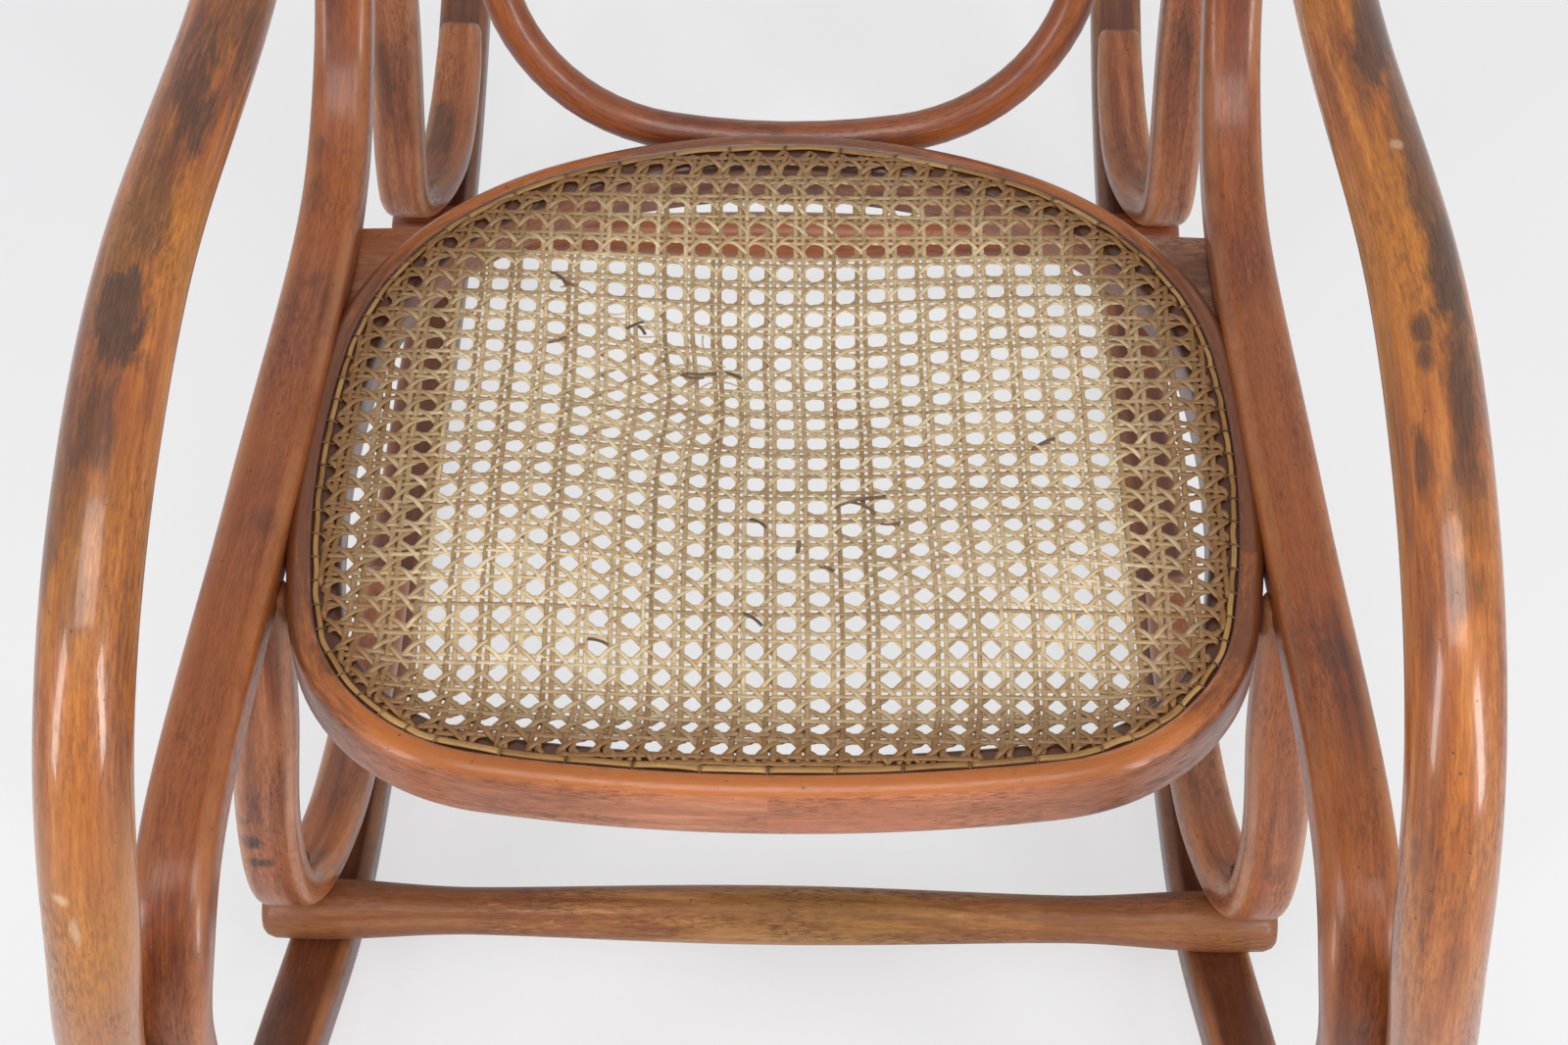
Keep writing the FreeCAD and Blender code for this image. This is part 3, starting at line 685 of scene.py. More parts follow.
def makeHoop():
    up = Vector((0, math.sin(lean), math.cos(lean)))
    facing = Vector((0, math.cos(lean), -math.sin(lean)))
    base = Vector((0, hoop["baseY"], hoop["baseZ"]))
    centres = [Vector(racked(*(base + Vector((x, 0, 0)) + up * rise))) for x, rise in hoopOval()]
    sides = hoop["sides"]
    count = len(centres)
    verts = []
    lengths = [0.0]
    for i, centre in enumerate(centres):
        along = (centres[(i + 1) % count] - centres[i - 1]).normalized()
        out = along.cross(facing)
        for k in range(sides):
            t = 2 * math.pi * k / sides
            verts.append(place(centre + (out * math.cos(t) + facing * math.sin(t)) * hoop["rod"] / 2))
        lengths.append(lengths[-1] + (centres[(i + 1) % count] - centre).length)
    girth = math.pi * hoop["rod"]
    around = [girth * k / sides for k in range(sides)]
    uvs = tubeUvs(count, sides, around, lengths, girth, 2.0, True)
    faces = tubeFaces(count, sides, True)
    finishMesh("backHoop", verts, faces, uvs, materials["brown"], ["back_hoop"])


makeHoop()
print("back made")

# runners
rocker = {
    "radius": 1300.0, "restY": 190.0, "thick": 24.0, "backY": 770.0, "curlRadius": 110.0, "curlStartY": -155.0}


def rockerZ(y):
    radius = rocker["radius"] - rocker["thick"] / 2
    return rocker["radius"] - math.sqrt(radius ** 2 - (y - rocker["restY"]) ** 2)


def runnerStations():
    stations = [(249.5, -239, 270, 31, 25.5), (251.5, -237, 220, 30.5, 25), (252.5, -236, 165, 30.5, 24)]
    middle = rocker["radius"] - rocker["thick"] / 2
    startTurn = math.asin((rocker["restY"] - rocker["curlStartY"]) / middle)
    for share, x in ((0.66, 252), (0.33, 250)):
        turn = startTurn + share * (math.pi / 2 - startTurn)
        y = rocker["curlStartY"] - rocker["curlRadius"] * (math.sin(turn) - math.sin(startTurn))
        z = rockerZ(rocker["curlStartY"]) + rocker["curlRadius"] * (math.cos(startTurn) - math.cos(turn))
        stations.append((x, y, z, 32, 24))
    for y, x, wide in ((rocker["curlStartY"], 247, 33.5), (-110, 242, 34), (-50, 234.5, 34), (60, 229.5, 34),
                       (rocker["restY"], 224.5, 33.5), (320, 219, 33), (440, 213.5, 32), (560, 211, 31.5),
                       (660, 211, 31), (rocker["backY"], 211, 30)):
        stations.append((x, y, rockerZ(y), wide, rocker["thick"]))
    return stations


bentMember("runner", runnerStations(), 6.0, "runner", cuts=[(runnerLap, -lowNormal)],
           waviness=0.0)

# arms
armRod = {"corner": 30.0, "stations": [
    (212, 366, 597, 27, 27), (212, 300, 600, 29, 29), (214, 200, 600, 31, 31), (218, 120, 596.5, 32.5, 32.5),
    (225, 51, 590, 33.5, 33.5), (239.5, -41, 580, 36, 36), (245, -126, 567, 37, 37),
    (246.5, -197, 544, 36.5, 36.5), (248.5, -238, 508, 36.5, 36.5), (252, -257, 462, 36.5, 36.5),
    (257.5, -266, 410, 36, 36), (265, -268, 355, 35, 35), (268, -267, 300, 33.5, 33.5), (265, -264, 245, 31, 31),
    (259, -260, 195, 28, 28), (254.5, -257, 150, 24, 22)]}
bentMember("arm", armRod["stations"], armRod["corner"], "arm", sides=40)

# scrolls
frontScroll = {"corner": 6.5, "stations": [
    (229, -48, 352, 27, 19), (231, -57, 310, 28, 19.5), (234.5, -63, 265, 29, 20), (240.5, -66, 220, 30, 20.5),
    (245, -66, 175, 30, 20.5), (246.5, -65.5, 128, 30, 20.5), (245, -57, 100, 30, 20.5),
    (239.5, -38, 84.5, 29.5, 20.5), (233.5, -16, 80, 29, 20), (229.5, 14, 73, 29, 19.5), (228, 70, 55, 29, 19),
    (226, 130, 41, 28, 18), (225, 186, 34, 26, 16)]}
rearScroll = {"corner": 6.5, "stations": [
    (212, 426, 702, 25, 17), (212, 409, 650, 27, 18.5), (213, 403, 600, 28, 19), (215, 401.5, 520, 29, 20),
    (217.5, 403, 420, 29, 20), (220.5, 406, 300, 29.5, 20.5), (226, 408, 190, 29.5, 20.5),
    (229, 408, 130, 29.5, 20.5), (228.5, 415, 103, 29.5, 20.5), (223, 434, 87, 29.5, 20.5),
    (215, 462, 81, 29.5, 20), (211, 500, 81.5, 29.5, 19), (210, 540, 88, 28.5, 18), (210, 570, 97, 26, 16)]}
bentMember("front_scroll", frontScroll["stations"], frontScroll["corner"], "scroll")
bentMember("rear_scroll", rearScroll["stations"], rearScroll["corner"], "scroll")
print("runners, arms and scrolls made")

# stretchers, turned on a lathe
stretchers = {
    "front_stretcher": {
        "at": (-48.0, 60.0), "half": 264.0, "waistX": 156.0, "middle": 15.5, "waist": 12.4, "end": 16.0,
        "wood": "rail"},
    "rear_stretcher": {
        "at": (426.0, 62.0), "half": 242.0, "waistX": 128.0, "middle": 14.7, "waist": 11.5, "end": 16.0,
        "wood": "brown"}}
lathe = {"shoulder": 26.0, "endRound": [(0, 4.5), (2, 2.2), (6, 0.6)], "sides": 36}    # endRound: (inwards, less)


def makeStretcher(name, look):
    shoulder = look["half"] - lathe["shoulder"]
    profile = [(-look["half"] + inwards, look["end"] - less) for inwards, less in lathe["endRound"]]
    for k in range(12):
        share = k / 12
        fall = (1 - math.cos(math.pi * share)) / 2
        radius = look["end"] + (look["waist"] - look["end"]) * fall
        profile.append((-shoulder + share * (shoulder - look["waistX"]), radius))
    for k in range(20):
        share = k / 19
        rise = math.sin(math.pi / 2 * share) ** 1.5
        profile.append((look["waistX"] * (share - 1), look["waist"] + (look["middle"] - look["waist"]) * rise))
    profile += [(-x, r) for x, r in reversed(profile[:-1])]
    sides = lathe["sides"]
    rings = len(profile)
    verts = []
    for x, r in profile:
        for k in range(sides):
            t = 2 * math.pi * k / sides
            rim = restTurn @ Vector((0, r * math.cos(t), r * math.sin(t))) * mm
            verts.append(place(racked(x, *look["at"])) + rim)
    girth = 2 * math.pi * look["end"]
    around = [girth * k / sides for k in range(sides)]
    faces = tubeFaces(rings, sides) + endFaces(rings, sides)
    uvs = tubeUvs(rings, sides, around, [x for x, r in profile], girth, 1.0) + endUvs(sides)
    finishMesh(camel(name.split("_")), verts, faces, uvs, materials[look["wood"]], [name])


for name, look in stretchers.items():
    makeStretcher(name, look)
print("stretchers made")

# seat ring
seat = {
    "frontY": -166.6, "height": 28.5, "footRound": 3.5, "browRound": 7.5,
    "arcs": [(813.0, 8.7), (107.6, 79.7), (541.5, 97.7), (171.8, 154.7)]}     # (radius, heading at its end)


def ringSpots(offset, step=6.0):
    # points round the seat outline, moved in by the offset, from the front middle anticlockwise
    x, y = 0.0, seat["frontY"] + offset
    heading = 0.0
    half = [(x, y)]
    for radius, end in seat["arcs"] + [(None, 180.0)]:
        a0 = math.radians(heading)
        a1 = math.radians(end)
        r = x / math.sin(a0) if radius is None else radius - offset
        cx, cy = x - math.sin(a0) * r, y + math.cos(a0) * r
        count = max(2, int(round((radius or 280.0) * (a1 - a0) / step)))
        for k in range(1, count + 1):
            t = a0 + (a1 - a0) * k / count
            half.append((cx + math.sin(t) * r, cy - math.cos(t) * r))
        x, y = half[-1]
        heading = end
    return half + [(-px, py) for px, py in reversed(half[1:-1])]


def ringProfile():
    # (offset from the outside, height) round the ring's section, from the inside bottom
    h, foot, brow = seat["height"], seat["footRound"], seat["browRound"]
    spots = [(24.5, -h + 1.5), (22, -h), (foot, -h)]
    spots += [(foot - foot * math.sin(t), -h + foot - foot * math.cos(t)) for t in (0.5, 1.0, math.pi / 2)]
    spots += [(0, -19), (0, -13)]
    for k in range(7):
        t = math.pi / 2 * k / 6
        spots.append((brow - brow * math.cos(t), -brow + brow * math.sin(t)))
    spots += [(10.2, 0.0), (11.4, -0.25), (12.0, -1.2), (12.7, -1.6), (16, -1.7), (19, -1.9), (22.5, -2.6)]
    spots += [(24.2, -4.0), (24.9, -7.0), (25, -14)]
    return spots


def makeRing():
    profile = ringProfile()
    loops = [ringSpots(offset) for offset, h in profile]
    count = len(loops[0])
    sides = len(profile)
    verts = [seatPlace(*loop[i], h) for i in range(count) for loop, (offset, h) in zip(loops, profile)]
    outer = loops[5]
    lengths = [0.0]
    for (x0, y0), (x1, y1) in zip(outer, outer[1:] + outer[:1]):
        lengths.append(lengths[-1] + math.hypot(x1 - x0, y1 - y0))
    run = [0.0]
    for (o0, h0), (o1, h1) in zip(profile, profile[1:] + profile[:1]):
        run.append(run[-1] + math.hypot(o1 - o0, h1 - h0))
    uvs = tubeUvs(count, sides, run[:-1], lengths, run[-1], 3.0, True)
    faces, uvs = turnedOver(tubeFaces(count, sides, True), uvs)
    finishMesh("seatRing", verts, faces, uvs, materials["ring"], ["seat_ring"])


makeRing()
print("seat ring made")

# the woven seat
weave = {
    "pitch": 14.12, "pairGap": 3.6, "pairWidth": 2.15, "diagonalWidth": 2.05, "thick": 0.75, "rise": 0.6,
    "diagonalRise": 0.95, "holeLine": 15.5, "rowShift": -6.5,
    "top": -0.4, "sag": 1.4, "sagReach": 135.0, "lumpReach": 26.0,                     # the old cane's dip
    "lean": -0.02, "drift": 0.6, "bulge": -3.0, "bulgeX": 7.0, "bulgeSpread": 38.0, "heldReach": 30.0,
    "edgeSwell": 0.3, "swellFrom": 62.0, "swellOver": 45.0, "edgeTint": 52.0}
# hollows and a ridge in the worn seat: (x, y, spread across, spread along, rise)
lumps = [(0, 95, 75, 62, -12.6), (-10, -22, 300, 46, -3.7), (110, -35, 60, 50, 6.1),
         (-115, -15, 60, 60, 10.1), (0, -109, 400, 34, -7.6)]
inside = np.array(ringSpots(weave["holeLine"], 5.0))
# loose, pulled places: (x, y, spread, shift x, shift y)
pulls = [(-62, 80, 26, 3.2, -2.5), (-40, 60, 22, 2.0, 3.0), (10, 96, 24, -1.5, 2.0), (70, -70, 30, 1.5, 1.0)]


def insideSpan(origin, direction):
    # where a straight line across the seat meets the row of holes: the two marks along it
    origin = np.array(origin)
    direction = np.array(direction)
    normal = np.array((-direction[1], direction[0]))
    side = (inside - origin) @ normal
    hits = []
    for i in range(len(inside)):
        j = (i + 1) % len(inside)
        if (side[i] > 0) != (side[j] > 0):
            share = side[i] / (side[i] - side[j])
            hits.append(float((inside[i] + share * (inside[j] - inside[i]) - origin) @ direction))
    return (min(hits), max(hits)) if len(hits) > 1 else None


edgeGrid = {}


def edgeAt(x, y):
    # how far a point of the seat lies from the row of holes, looked up every 3 mm
    key = (round(x / 3), round(y / 3))
    if key not in edgeGrid:
        edgeGrid[key] = float(np.min(np.hypot(inside[:, 0] - key[0] * 3, inside[:, 1] - key[1] * 3)))
    return edgeGrid[key]


def seatDip(x, y):
    # how far the old cane hangs below the ring's top
    d = edgeAt(x, y)
    share = min(d / weave["sagReach"], 1.0)
    dip = weave["top"] - weave["sag"] * math.sin(share * math.pi / 2) ** 1.3
    held = min(d / weave["lumpReach"], 1.0)
    for lx, ly, across, along, rise in lumps:
        dip += rise * held * math.exp(-((x - lx) / across) ** 2 - ((y - ly) / along) ** 2)
    return dip


def pulled(x, y):
    # where the strands of the old seat have drifted to
    bulge = weave["bulge"] * math.exp(-((x - weave["bulgeX"]) / weave["bulgeSpread"]) ** 2)
    dx = weave["lean"] * y + weave["drift"] + bulge
    dy = 0.0
    for px, py, spread, sx, sy in pulls:
        w = math.exp(-((x - px) ** 2 + (y - py) ** 2) / (2 * spread ** 2))
        dx += sx * w
        dy += sy * w
    free = min(edgeAt(x, y) / weave["heldReach"], 1.0)
    return x + dx * free, y + dy * free


def swell(x, y):
    # strands lie looser and are wider near the ring
    return 1 + weave["edgeSwell"] * min(max((weave["swellFrom"] - edgeAt(x, y)) / weave["swellOver"], 0), 1)


class StrandMesh:
    section = [(-0.5, 0.1), (-0.3, 0.8), (0.3, 0.8), (0.5, 0.1), (0.4, -0.2), (-0.4, -0.2)]    # domed bark side

    def __init__(self):
        self.verts = []
        self.faces = []
        self.uvs = []
        self.tone = []
        self.edge = []

    def ribbon(self, spots, width, thick, tone, swelling=True):
        # a flat strand; spots are (x, y, h) on the seat, in millimetres
        spots = np.asarray(spots, float)
        along = np.gradient(spots, axis=0)
        along /= np.linalg.norm(along, axis=1)[:, None] + 1e-9
        flat = np.stack([-along[:, 1], along[:, 0], np.zeros(len(spots))], 1)
        flat /= np.linalg.norm(flat, axis=1)[:, None] + 1e-9
        top = np.cross(along, flat)
        run = runAlong(spots)
        base = len(self.verts)
        sides = len(self.section)
        for i, spot in enumerate(spots):
            wide = width * swell(spot[0], spot[1]) if swelling else width
            near = max(0.0, 1 - edgeAt(spot[0], spot[1]) / weave["edgeTint"])
            for a, b in self.section:
                self.verts.append(seatPlace(*(spot + flat[i] * a * wide + top[i] * b * thick)))
            self.tone += [tone] * sides
            self.edge += [near] * sides
        for i in range(len(spots) - 1):
            v0 = run[i] * mm + tone * 3
            v1 = run[i + 1] * mm + tone * 3
            for k in range(sides):
                n = (k + 1) % sides
                a = base + i * sides
                b = a + sides
                self.faces.append((a + n, a + k, b + k, b + n))
                u0, u1 = k * 0.0006, (k + 1) * 0.0006
                self.uvs += [(u1, v0), (u0, v0), (u0, v1), (u1, v1)]
        last = base + (len(spots) - 1) * sides
        self.faces.append(tuple(range(base, base + sides)))
        self.faces.append(tuple(reversed(range(last, last + sides))))
        self.uvs += [(0.0, 0.0)] * (2 * sides)

    def make(self, name, materialName, replaced=()):
        piece = finishMesh(name, self.verts, self.faces, self.uvs, materials[materialName], replaced)
        writeField(piece, "tone", self.tone)
        writeField(piece, "edge", self.edge)


# one strand, in millimetres; it wanders a little from side to side, more beside the ring
strand = {
    "shortest": 12.0, "step": 1.75, "settle": 9.0, "dive": -3.2, "diveReach": 3.0, "lift": 0.3,
    "looser": 4.0, "wave": 0.11, "pairWander": 0.12, "slantWander": 0.25}


def strandSpots(origin, direction, weaveHeight, wander):
    # a strand from hole to hole: follows the dip, weaves up and down, and dives at its ends
    span = insideSpan(origin, direction)
    if span is None or span[1] - span[0] < strand["shortest"]:
        return []
    lo, hi = span
    spots = []
    for t in np.linspace(lo, hi, max(6, int((hi - lo) / strand["step"]))):
        x, y = pulled(origin[0] + direction[0] * t, origin[1] + direction[1] * t)
        near = min(t - lo, hi - t)
        free = min(near / strand["settle"], 1.0)
        dive = strand["dive"] * max(0.0, 1 - near / strand["diveReach"])
        turn = t * strand["wave"] + origin[0] * 1.7 + origin[1] * 0.6
        jog = wander * (1 + strand["looser"] * (swell(x, y) - 1)) * math.sin(turn)
        x += -direction[1] * jog * free
        y += direction[0] * jog * free
        height = seatDip(x, y) + weaveHeight(x, y) * free * swell(x, y) + dive + strand["lift"]
        spots.append((x, y, height))
    return spots


# places where a slanting strand has snapped: (x, y, reach, which slant)
snaps = [(-46, 108, 13, 1), (-30, 88, 10, -1), (-72, 118, 9, 1), (35, 3, 8, -1), (-8, -12, 9, 1),
         (11, -24, 8, -1), (-75, -80, 6, 1), (-106, 146, 8, -1), (24, -40, 5, 1)]
# dark broken ends that stand off the weave: (x, y, direction in degrees, length)
looseEnds = [(-107, 146, -52, 15), (-104, 143, -40, 11), (-70, 118, 25, 9), (-66, 115, -62, 8),
             (-106, 103, 18, 9), (-38, 90, 2, 17), (-42, 87, -12, 13), (-22, 92, -30, 11), (35, 3, 12, 18),
             (40, 0, -38, 15), (44, 5, 4, 12), (-7, -10, -42, 10), (52, -12, -8, 9), (122, 38, 28, 12),
             (-8, -68, -44, 12), (-75, -82, -22, 10), (24, -38, -35, 8), (11, -25, 80, 6)]


def unbroken(spots, sign):
    # what is left of a slanting strand between its snapped places
    runs = [[]]
    for spot in spots:
        if any(which == sign and math.hypot(spot[0] - x, spot[1] - y) < reach for x, y, reach, which in snaps):
            if runs[-1]:
                runs.append([])
        else:
            runs[-1].append(spot)
    return [run for run in runs if len(run) > 3]


# thin strands bent out of line where the weave is disturbed: the same numbers
strayStrands = [(-60, 112, 20, 26), (-50, 104, -35, 30), (-42, 96, 5, 34), (-58, 98, 60, 22),
                (-35, 104, -60, 24), (-30, 86, 15, 28), (-66, 104, -10, 20), (-48, 88, 35, 24),
                (-74, 126, 40, 22), (-98, 140, -20, 18)]
looseLook = {
    "brokenEnds": {"width": 1.7, "lift": 1.8, "bend": 0.5}, "strays": {"width": 0.9, "lift": 0.8, "bend": 1.3},
    "thick": 0.5, "height": 0.9}


def makeLooseEnds():
    for kind, lines, skin in (("brokenEnds", looseEnds, "brokenCane"), ("strays", strayStrands, "cane")):
        look = looseLook[kind]
        mesh = StrandMesh()
        for x, y, direction, length in lines:
            turn = math.radians(direction)
            bow = look["bend"] * random.uniform(0.4, 1.0) * random.choice((-1, 1))
            spots = []
            for share in np.linspace(0, 1, 9):
                bend = turn + bow * (share - 0.5)
                px = x + math.cos(bend) * length * (share - 0.5)
                py = y + math.sin(bend) * length * (share - 0.5)
                spots.append((px, py, seatDip(px, py) + looseLook["height"] + look["lift"] * share))
            mesh.ribbon(spots, look["width"], looseLook["thick"], 0.15 + 0.5 * random.random())
        mesh.make("cane" + kind[0].upper() + kind[1:], skin)


def pairLift(along, pick):
    # over one strand of each crossing pair and under the other
    turns = along / weave["pitch"]
    near = max(0.0, math.cos(2 * math.pi * along / weave["pitch"])) ** 2
    return weave["rise"] * near * (-pick if (turns + 0.5) % 1.0 < 0.5 else pick)


def slantLift(x, over):
    # above the upright pairs and below the level ones, or the other way round
    return over * weave["diagonalRise"] * math.cos(2 * math.pi * x / weave["pitch"])


def makeWeave():
    pitch = weave["pitch"]
    shift = weave["rowShift"]
    upright = StrandMesh()
    level = StrandMesh()
    for mesh, counts in ((upright, range(-15, 16)), (level, range(-11, 18))):
        for k in counts:
            for pick in (-1, 1):
                offset = k * pitch + pick * (weave["pairGap"] / 2)
                if mesh is upright:
                    spots = strandSpots((offset, 0.0), (0.0, 1.0), lambda x, y: pairLift(y - shift, pick),
                                        strand["pairWander"])
                else:
                    spots = strandSpots((0.0, offset + shift), (1.0, 0.0), lambda x, y: pairLift(x, -pick),
                                        strand["pairWander"])
                if spots:
                    mesh.ribbon(spots, weave["pairWidth"], weave["thick"], random.random())
    upright.make("caneFrontToBack", "cane", ["seat_cane_web"])
    level.make("caneSideToSide", "cane")
    diagonal = math.sqrt(0.5)
    for name, sign in (("caneRisingSlant", 1), ("caneFallingSlant", -1)):
        mesh = StrandMesh()
        for k in range(-28, 29):
            spots = strandSpots(((k + 0.5) * pitch, shift), (diagonal, sign * diagonal),
                                lambda x, y: slantLift(x, sign), strand["slantWander"])
            tone = 0.25 + 0.75 * random.random()
            for run in unbroken(spots, sign):
                mesh.ribbon(run, weave["diagonalWidth"], weave["thick"], tone)
        mesh.make(name, "cane")


makeWeave()
makeLooseEnds()
print("cane woven")

# binder: a flat cane laid over the holes, tied down every second hole and at the sides every hole
binder = {
    "offset": 14.1, "width": 3.4, "sideWidth": 2.5, "sideX": 165.0, "thick": 0.9, "height": -1.0, "arch": 0.5,
    "wobble": 0.7, "pitch": 14.0, "everyHoleX": 150.0,
    "tieWidth": 0.8, "tieThick": 0.6, "tieReach": 0.9, "tieFoot": -2.0, "tieRise": 1.9, "tieSlant": 0.5}


def makeBinder():
    line = np.array(ringSpots(binder["offset"], 3.0))
    closed = np.vstack([line, line[:1]])
    run = runAlong(closed)
    strip = StrandMesh()
    knots = StrandMesh()

    def at(t):
        t = t % run[-1]
        return np.array((np.interp(t, run, closed[:, 0]), np.interp(t, run, closed[:, 1])))
    holes = int(run[-1] / binder["pitch"])
    stops = [run[-1] * i / holes for i in range(holes)
             if i % 2 == 0 or abs(at(run[-1] * i / holes)[0]) > binder["everyHoleX"]]
    for start, end in zip(stops, stops[1:] + [run[-1]]):
        tone = 0.2 + 0.8 * random.random()
        drift = random.uniform(-binder["wobble"], binder["wobble"])
        spots = []
        for share in np.linspace(0, 1, 12):
            spot = at(start + (end - start) * share)
            arch = math.sin(math.pi * share)
            ahead = at(start + (end - start) * share + 1.0) - spot
            height = binder["height"] + binder["arch"] * arch ** 0.4
            spots.append((spot[0] - ahead[1] * drift * arch, spot[1] + ahead[0] * drift * arch, height))
        spot = at(start)
        width = binder["sideWidth"] if abs(spot[0]) > binder["sideX"] else binder["width"]
        strip.ribbon(spots, width, binder["thick"], tone, False)
        ahead = at(start + 1.0) - spot
        ahead /= np.linalg.norm(ahead)
        inwards = np.array((-ahead[1], ahead[0]))
        reach = binder["width"] / 2 + binder["tieReach"]
        loop = []
        for share in np.linspace(-1, 1, 9):
            x, y = spot + inwards * reach * share + ahead * binder["tieSlant"] * share
            loop.append((x, y, binder["tieFoot"] + binder["tieRise"] * math.cos(share * math.pi / 2) ** 0.5))
        knots.ribbon(loop, binder["tieWidth"], binder["tieThick"], random.random(), False)
    strip.make("binderStrip", "binder", ["cane_binder"])
    knots.make("binderTies", "tie")


makeBinder()
print("binder made")

# corner blocks: the solids with their edges rounded over
block = {"rounding": 8.0, "facets": 5, "flatTo": 4.0, "sharpFrom": 30.0}      # the last two in degrees


def makeBlock(side):
    node = frame["nodes"]["seat_block_" + side]
    bm = bmesh.new()
    bm.from_mesh(node.data)
    bmesh.ops.transform(bm, matrix=node.matrix_world, verts=bm.verts)
    bmesh.ops.remove_doubles(bm, verts=bm.verts, dist=0.00001)
    bmesh.ops.dissolve_limit(bm, angle_limit=math.radians(block["flatTo"]), verts=bm.verts, edges=bm.edges)
    sharpFrom = math.radians(block["sharpFrom"])
    sharp = [e for e in bm.edges if len(e.link_faces) == 2 and e.calc_face_angle() > sharpFrom]
    bmesh.ops.bevel(bm, geom=sharp, offset=block["rounding"] * mm, segments=block["facets"], profile=0.5,
                    affect="EDGES", clamp_overlap=True)
    bm.verts.index_update()
    faces = [tuple(v.index for v in f.verts) for f in bm.faces]
    verts = [v.co.copy() for v in bm.verts]
    bm.free()
    uvs = [(verts[i].z + 0.4 * verts[i].y, verts[i].x + 0.6) for f in faces for i in f]
    finishMesh("seatBlock" + side.capitalize(), verts, faces, uvs, materials["block"],
               ["seat_block_" + side], False)


makeBlock("right")
makeBlock("left")

# screws: small slotted heads let in flush and lacquered over with the wood
screwHead = {
    "share": 0.6, "rise": 0.25, "slotWide": 0.8, "slotDeep": 0.7, "depth": 2.0, "sides": 14, "core": 0.97,
    "dome": [(0.7, 0.96), (1.0, 0.86)]}                     # dome: (share of the rise, share of the radius)


def islands(mesh):
    # the points of each screw in a node that holds several
    owner = list(range(len(mesh.vertices)))

    def root(i):
        while owner[i] != i:
            owner[i] = owner[owner[i]]
            i = owner[i]
        return i
    places = {}
    for i, v in enumerate(mesh.vertices):
        owner[i] = places.setdefault(tuple(round(c, 5) for c in v.co), i)
    for e in mesh.edges:
        owner[root(e.vertices[0])] = root(e.vertices[1])
    groups = {}
    for i, v in enumerate(mesh.vertices):
        groups.setdefault(root(i), []).append(v.co)
    return [np.array(g) for g in groups.values()]


def prism(verts, faces, outline, levels, frameAxes, middle):
    # a closed stack of outlines at heights (height, scale), in metres
    u, v, w = frameAxes
    base = len(verts)
    for height, scale in levels:
        for x, y in outline:
            verts.append(Vector(middle + u * x * scale + v * y * scale + w * height))
    rings, count = len(levels), len(outline)
    for face in tubeFaces(rings, count) + endFaces(rings, count):
        faces.append(tuple(base + i for i in face))


def makeScrewHeads(name, node):
    verts = []
    faces = []
    matrix = np.array(node.matrix_world)
    for spots in islands(node.data):
        spots = spots @ matrix[:3, :3].T + matrix[:3, 3]
        middle = spots.mean(0)
        axis = np.linalg.svd(spots - middle)[2][0]
        run = (spots - middle) @ axis
        wide = np.linalg.norm(spots - middle - np.outer(run, axis), axis=1)
        rim = run[wide > 0.9 * wide.max()]
        if rim.mean() < 0:
            axis, run, rim = -axis, -run, -rim
        seated = middle + axis * rim.min()
        u = np.cross(axis, (0.3, 0.8, 0.52))
        u /= np.linalg.norm(u)
        axes = (u, np.cross(axis, u), axis)
        # two half heads, with the slot between them, on a core
        radius = wide.max() * screwHead["share"]
        start = math.asin(screwHead["slotWide"] * mm / 2 / radius)
        low = -screwHead["depth"] * mm
        dome = [(screwHead["rise"] * mm * up, scale) for up, scale in screwHead["dome"]]
        for flip in (1, -1):
            turns = np.linspace(start, math.pi - start, screwHead["sides"])
            outline = [(flip * radius * math.cos(t), flip * radius * math.sin(t)) for t in turns]
            prism(verts, faces, outline, [(low, 1), (0, 1)] + dome, axes, seated)
        core = radius * screwHead["core"]
        ring = [(core * math.cos(t), core * math.sin(t)) for t in np.linspace(0, 2 * math.pi, 25)[:-1]]
        prism(verts, faces, ring, [(low, 1), (-screwHead["slotDeep"] * mm, 1)], axes, seated)
    uvs = [(0.001 * k, 0.0) for f in faces for k in range(len(f))]
    label = camel(name.split("_")[:-1]) + "ScrewHeads"
    finishMesh(label, verts, faces, uvs, materials["screw"], [name], False)


for name, node in list(frame["nodes"].items()):
    if "screws" in name:
        makeScrewHeads(name, node)
print("blocks and screws made")

# studio: pale floor, soft light, the photograph's camera
studio = {
    "floorHalf": 6.0, "floorColours": (srgb(240, 240, 242), srgb(236, 237, 240)), "floorRoughness": 0.75,
    "floorGlow": 0.62, "glowColour": srgb(252, 252, 253), "backdrop": srgb(238, 238, 240), "worldStrength": 0.22,
    "lamps": {                              # (place, aimed at, watts, size), in metres
        "topBox": ((0.0, -1.0, 2.7), (0, -0.1, 0.3), 34, (1.8, 1.2)),
        "leftBox": ((-1.7, -1.6, 1.3), (0, -0.35, 0.4), 22, (0.45, 1.6)),
        "rightBox": ((1.7, -1.8, 1.2), (0, -0.35, 0.4), 34, (0.5, 1.6))}}


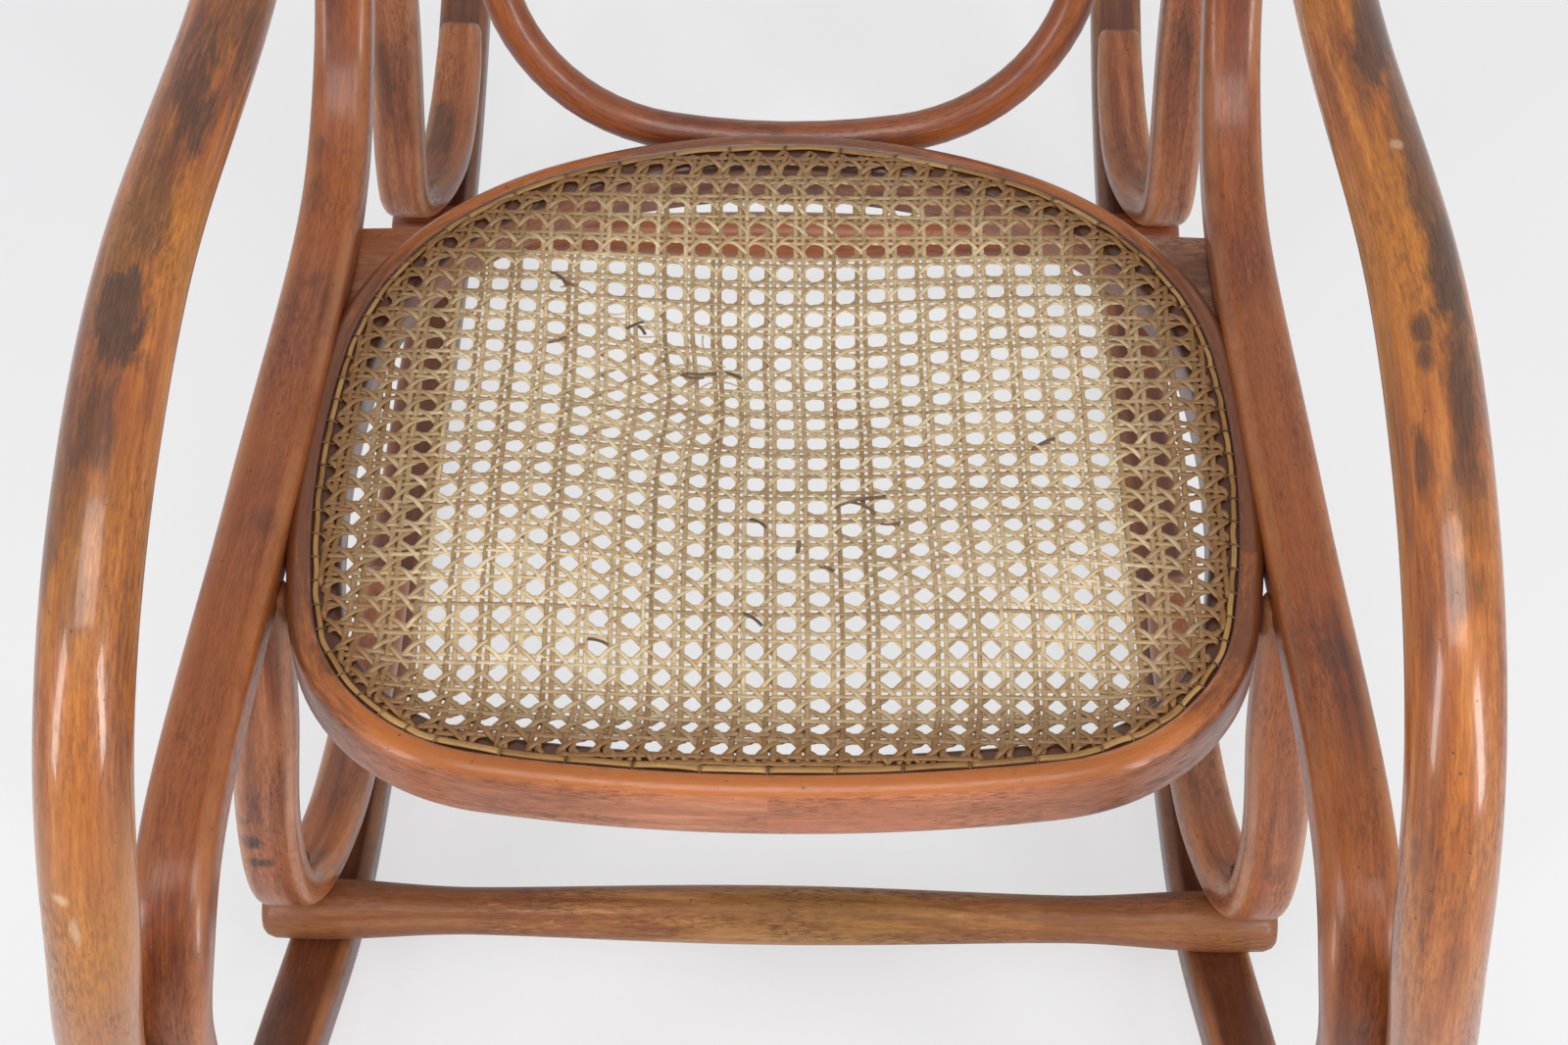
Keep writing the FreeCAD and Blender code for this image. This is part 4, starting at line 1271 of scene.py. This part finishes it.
def makeFloor():
    half = studio["floorHalf"]
    mesh = bpy.data.meshes.new("floor")
    mesh.from_pydata([(-half, -half, 0), (half, -half, 0), (half, half, 0), (-half, half, 0)], [], [(0, 1, 2, 3)])
    floor = addObject("floor", mesh)
    mat, tree, shader = nodeTree("paleFloor")
    warm, cool = studio["floorColours"]
    faint = ramp(tree, noise(tree, position(tree), 1.3, 2), [(0.3, warm), (0.7, cool)])
    tree.links.new(faint, shader.inputs["Base Color"])
    shader.inputs["Roughness"].default_value = studio["floorRoughness"]
    # the camera and mirror-like paths see it a little brighter, as a lit sweep
    glow = addNode(tree, "ShaderNodeEmission", Color=(*studio["glowColour"], 1))
    share = times(tree, seenDirectly(tree), studio["floorGlow"])
    blendSurfaces(tree, share, shader.outputs["BSDF"], glow.outputs["Emission"], "Material Output")
    mesh.materials.append(mat)


def makeLamp(name, at, target, power, size):
    lamp = bpy.data.lights.new(name, "AREA")
    lamp.energy = power
    lamp.shape = "RECTANGLE"
    lamp.size, lamp.size_y = size
    holder = addObject(name, lamp)
    holder.location = at
    holder.rotation_euler = (Vector(target) - Vector(at)).to_track_quat("-Z", "Y").to_euler()


makeFloor()
for name, (at, target, power, size) in studio["lamps"].items():
    makeLamp(name, at, target, power, size)

# the world lights the chair softly, and is seen as the pale backdrop
world = bpy.data.worlds.new("paleRoom")
bpy.context.scene.world = world
world.use_nodes = True
room = world.node_tree
light = room.nodes["Background"]
light.inputs["Color"].default_value = (1, 1, 1, 1)
light.inputs["Strength"].default_value = studio["worldStrength"]
backdrop = addNode(room, "ShaderNodeBackground", Color=(*studio["backdrop"], 1))
blendSurfaces(room, seenDirectly(room), light.outputs["Background"], backdrop.outputs["Background"],
              "World Output")
bpy.context.scene.view_settings.view_transform = "Standard"

# the photograph's camera, in metres, degrees and millimetres
view = {
    "at": (0.02194, -1.08883, 1.37827), "down": 51.178, "left": 1.191, "roll": 0.206, "focal": 67.5,
    "sensor": 36, "seesTo": 50}
cameraData = bpy.data.cameras.new("photoCamera")
cameraData.lens = view["focal"]
cameraData.sensor_width = view["sensor"]
cameraData.clip_end = view["seesTo"]
camera = addObject("photoCamera", cameraData)
down, left = math.radians(view["down"]), math.radians(view["left"])
forward = Vector((-math.sin(left) * math.cos(down), math.cos(left) * math.cos(down), -math.sin(down)))
spin = Matrix.Rotation(-math.radians(view["roll"]), 3, "Z")
aim = forward.to_track_quat("-Z", "Y").to_matrix() @ spin
camera.matrix_world = Matrix.Translation(view["at"]) @ aim.to_4x4()
bpy.context.scene.camera = camera
print("studio made")
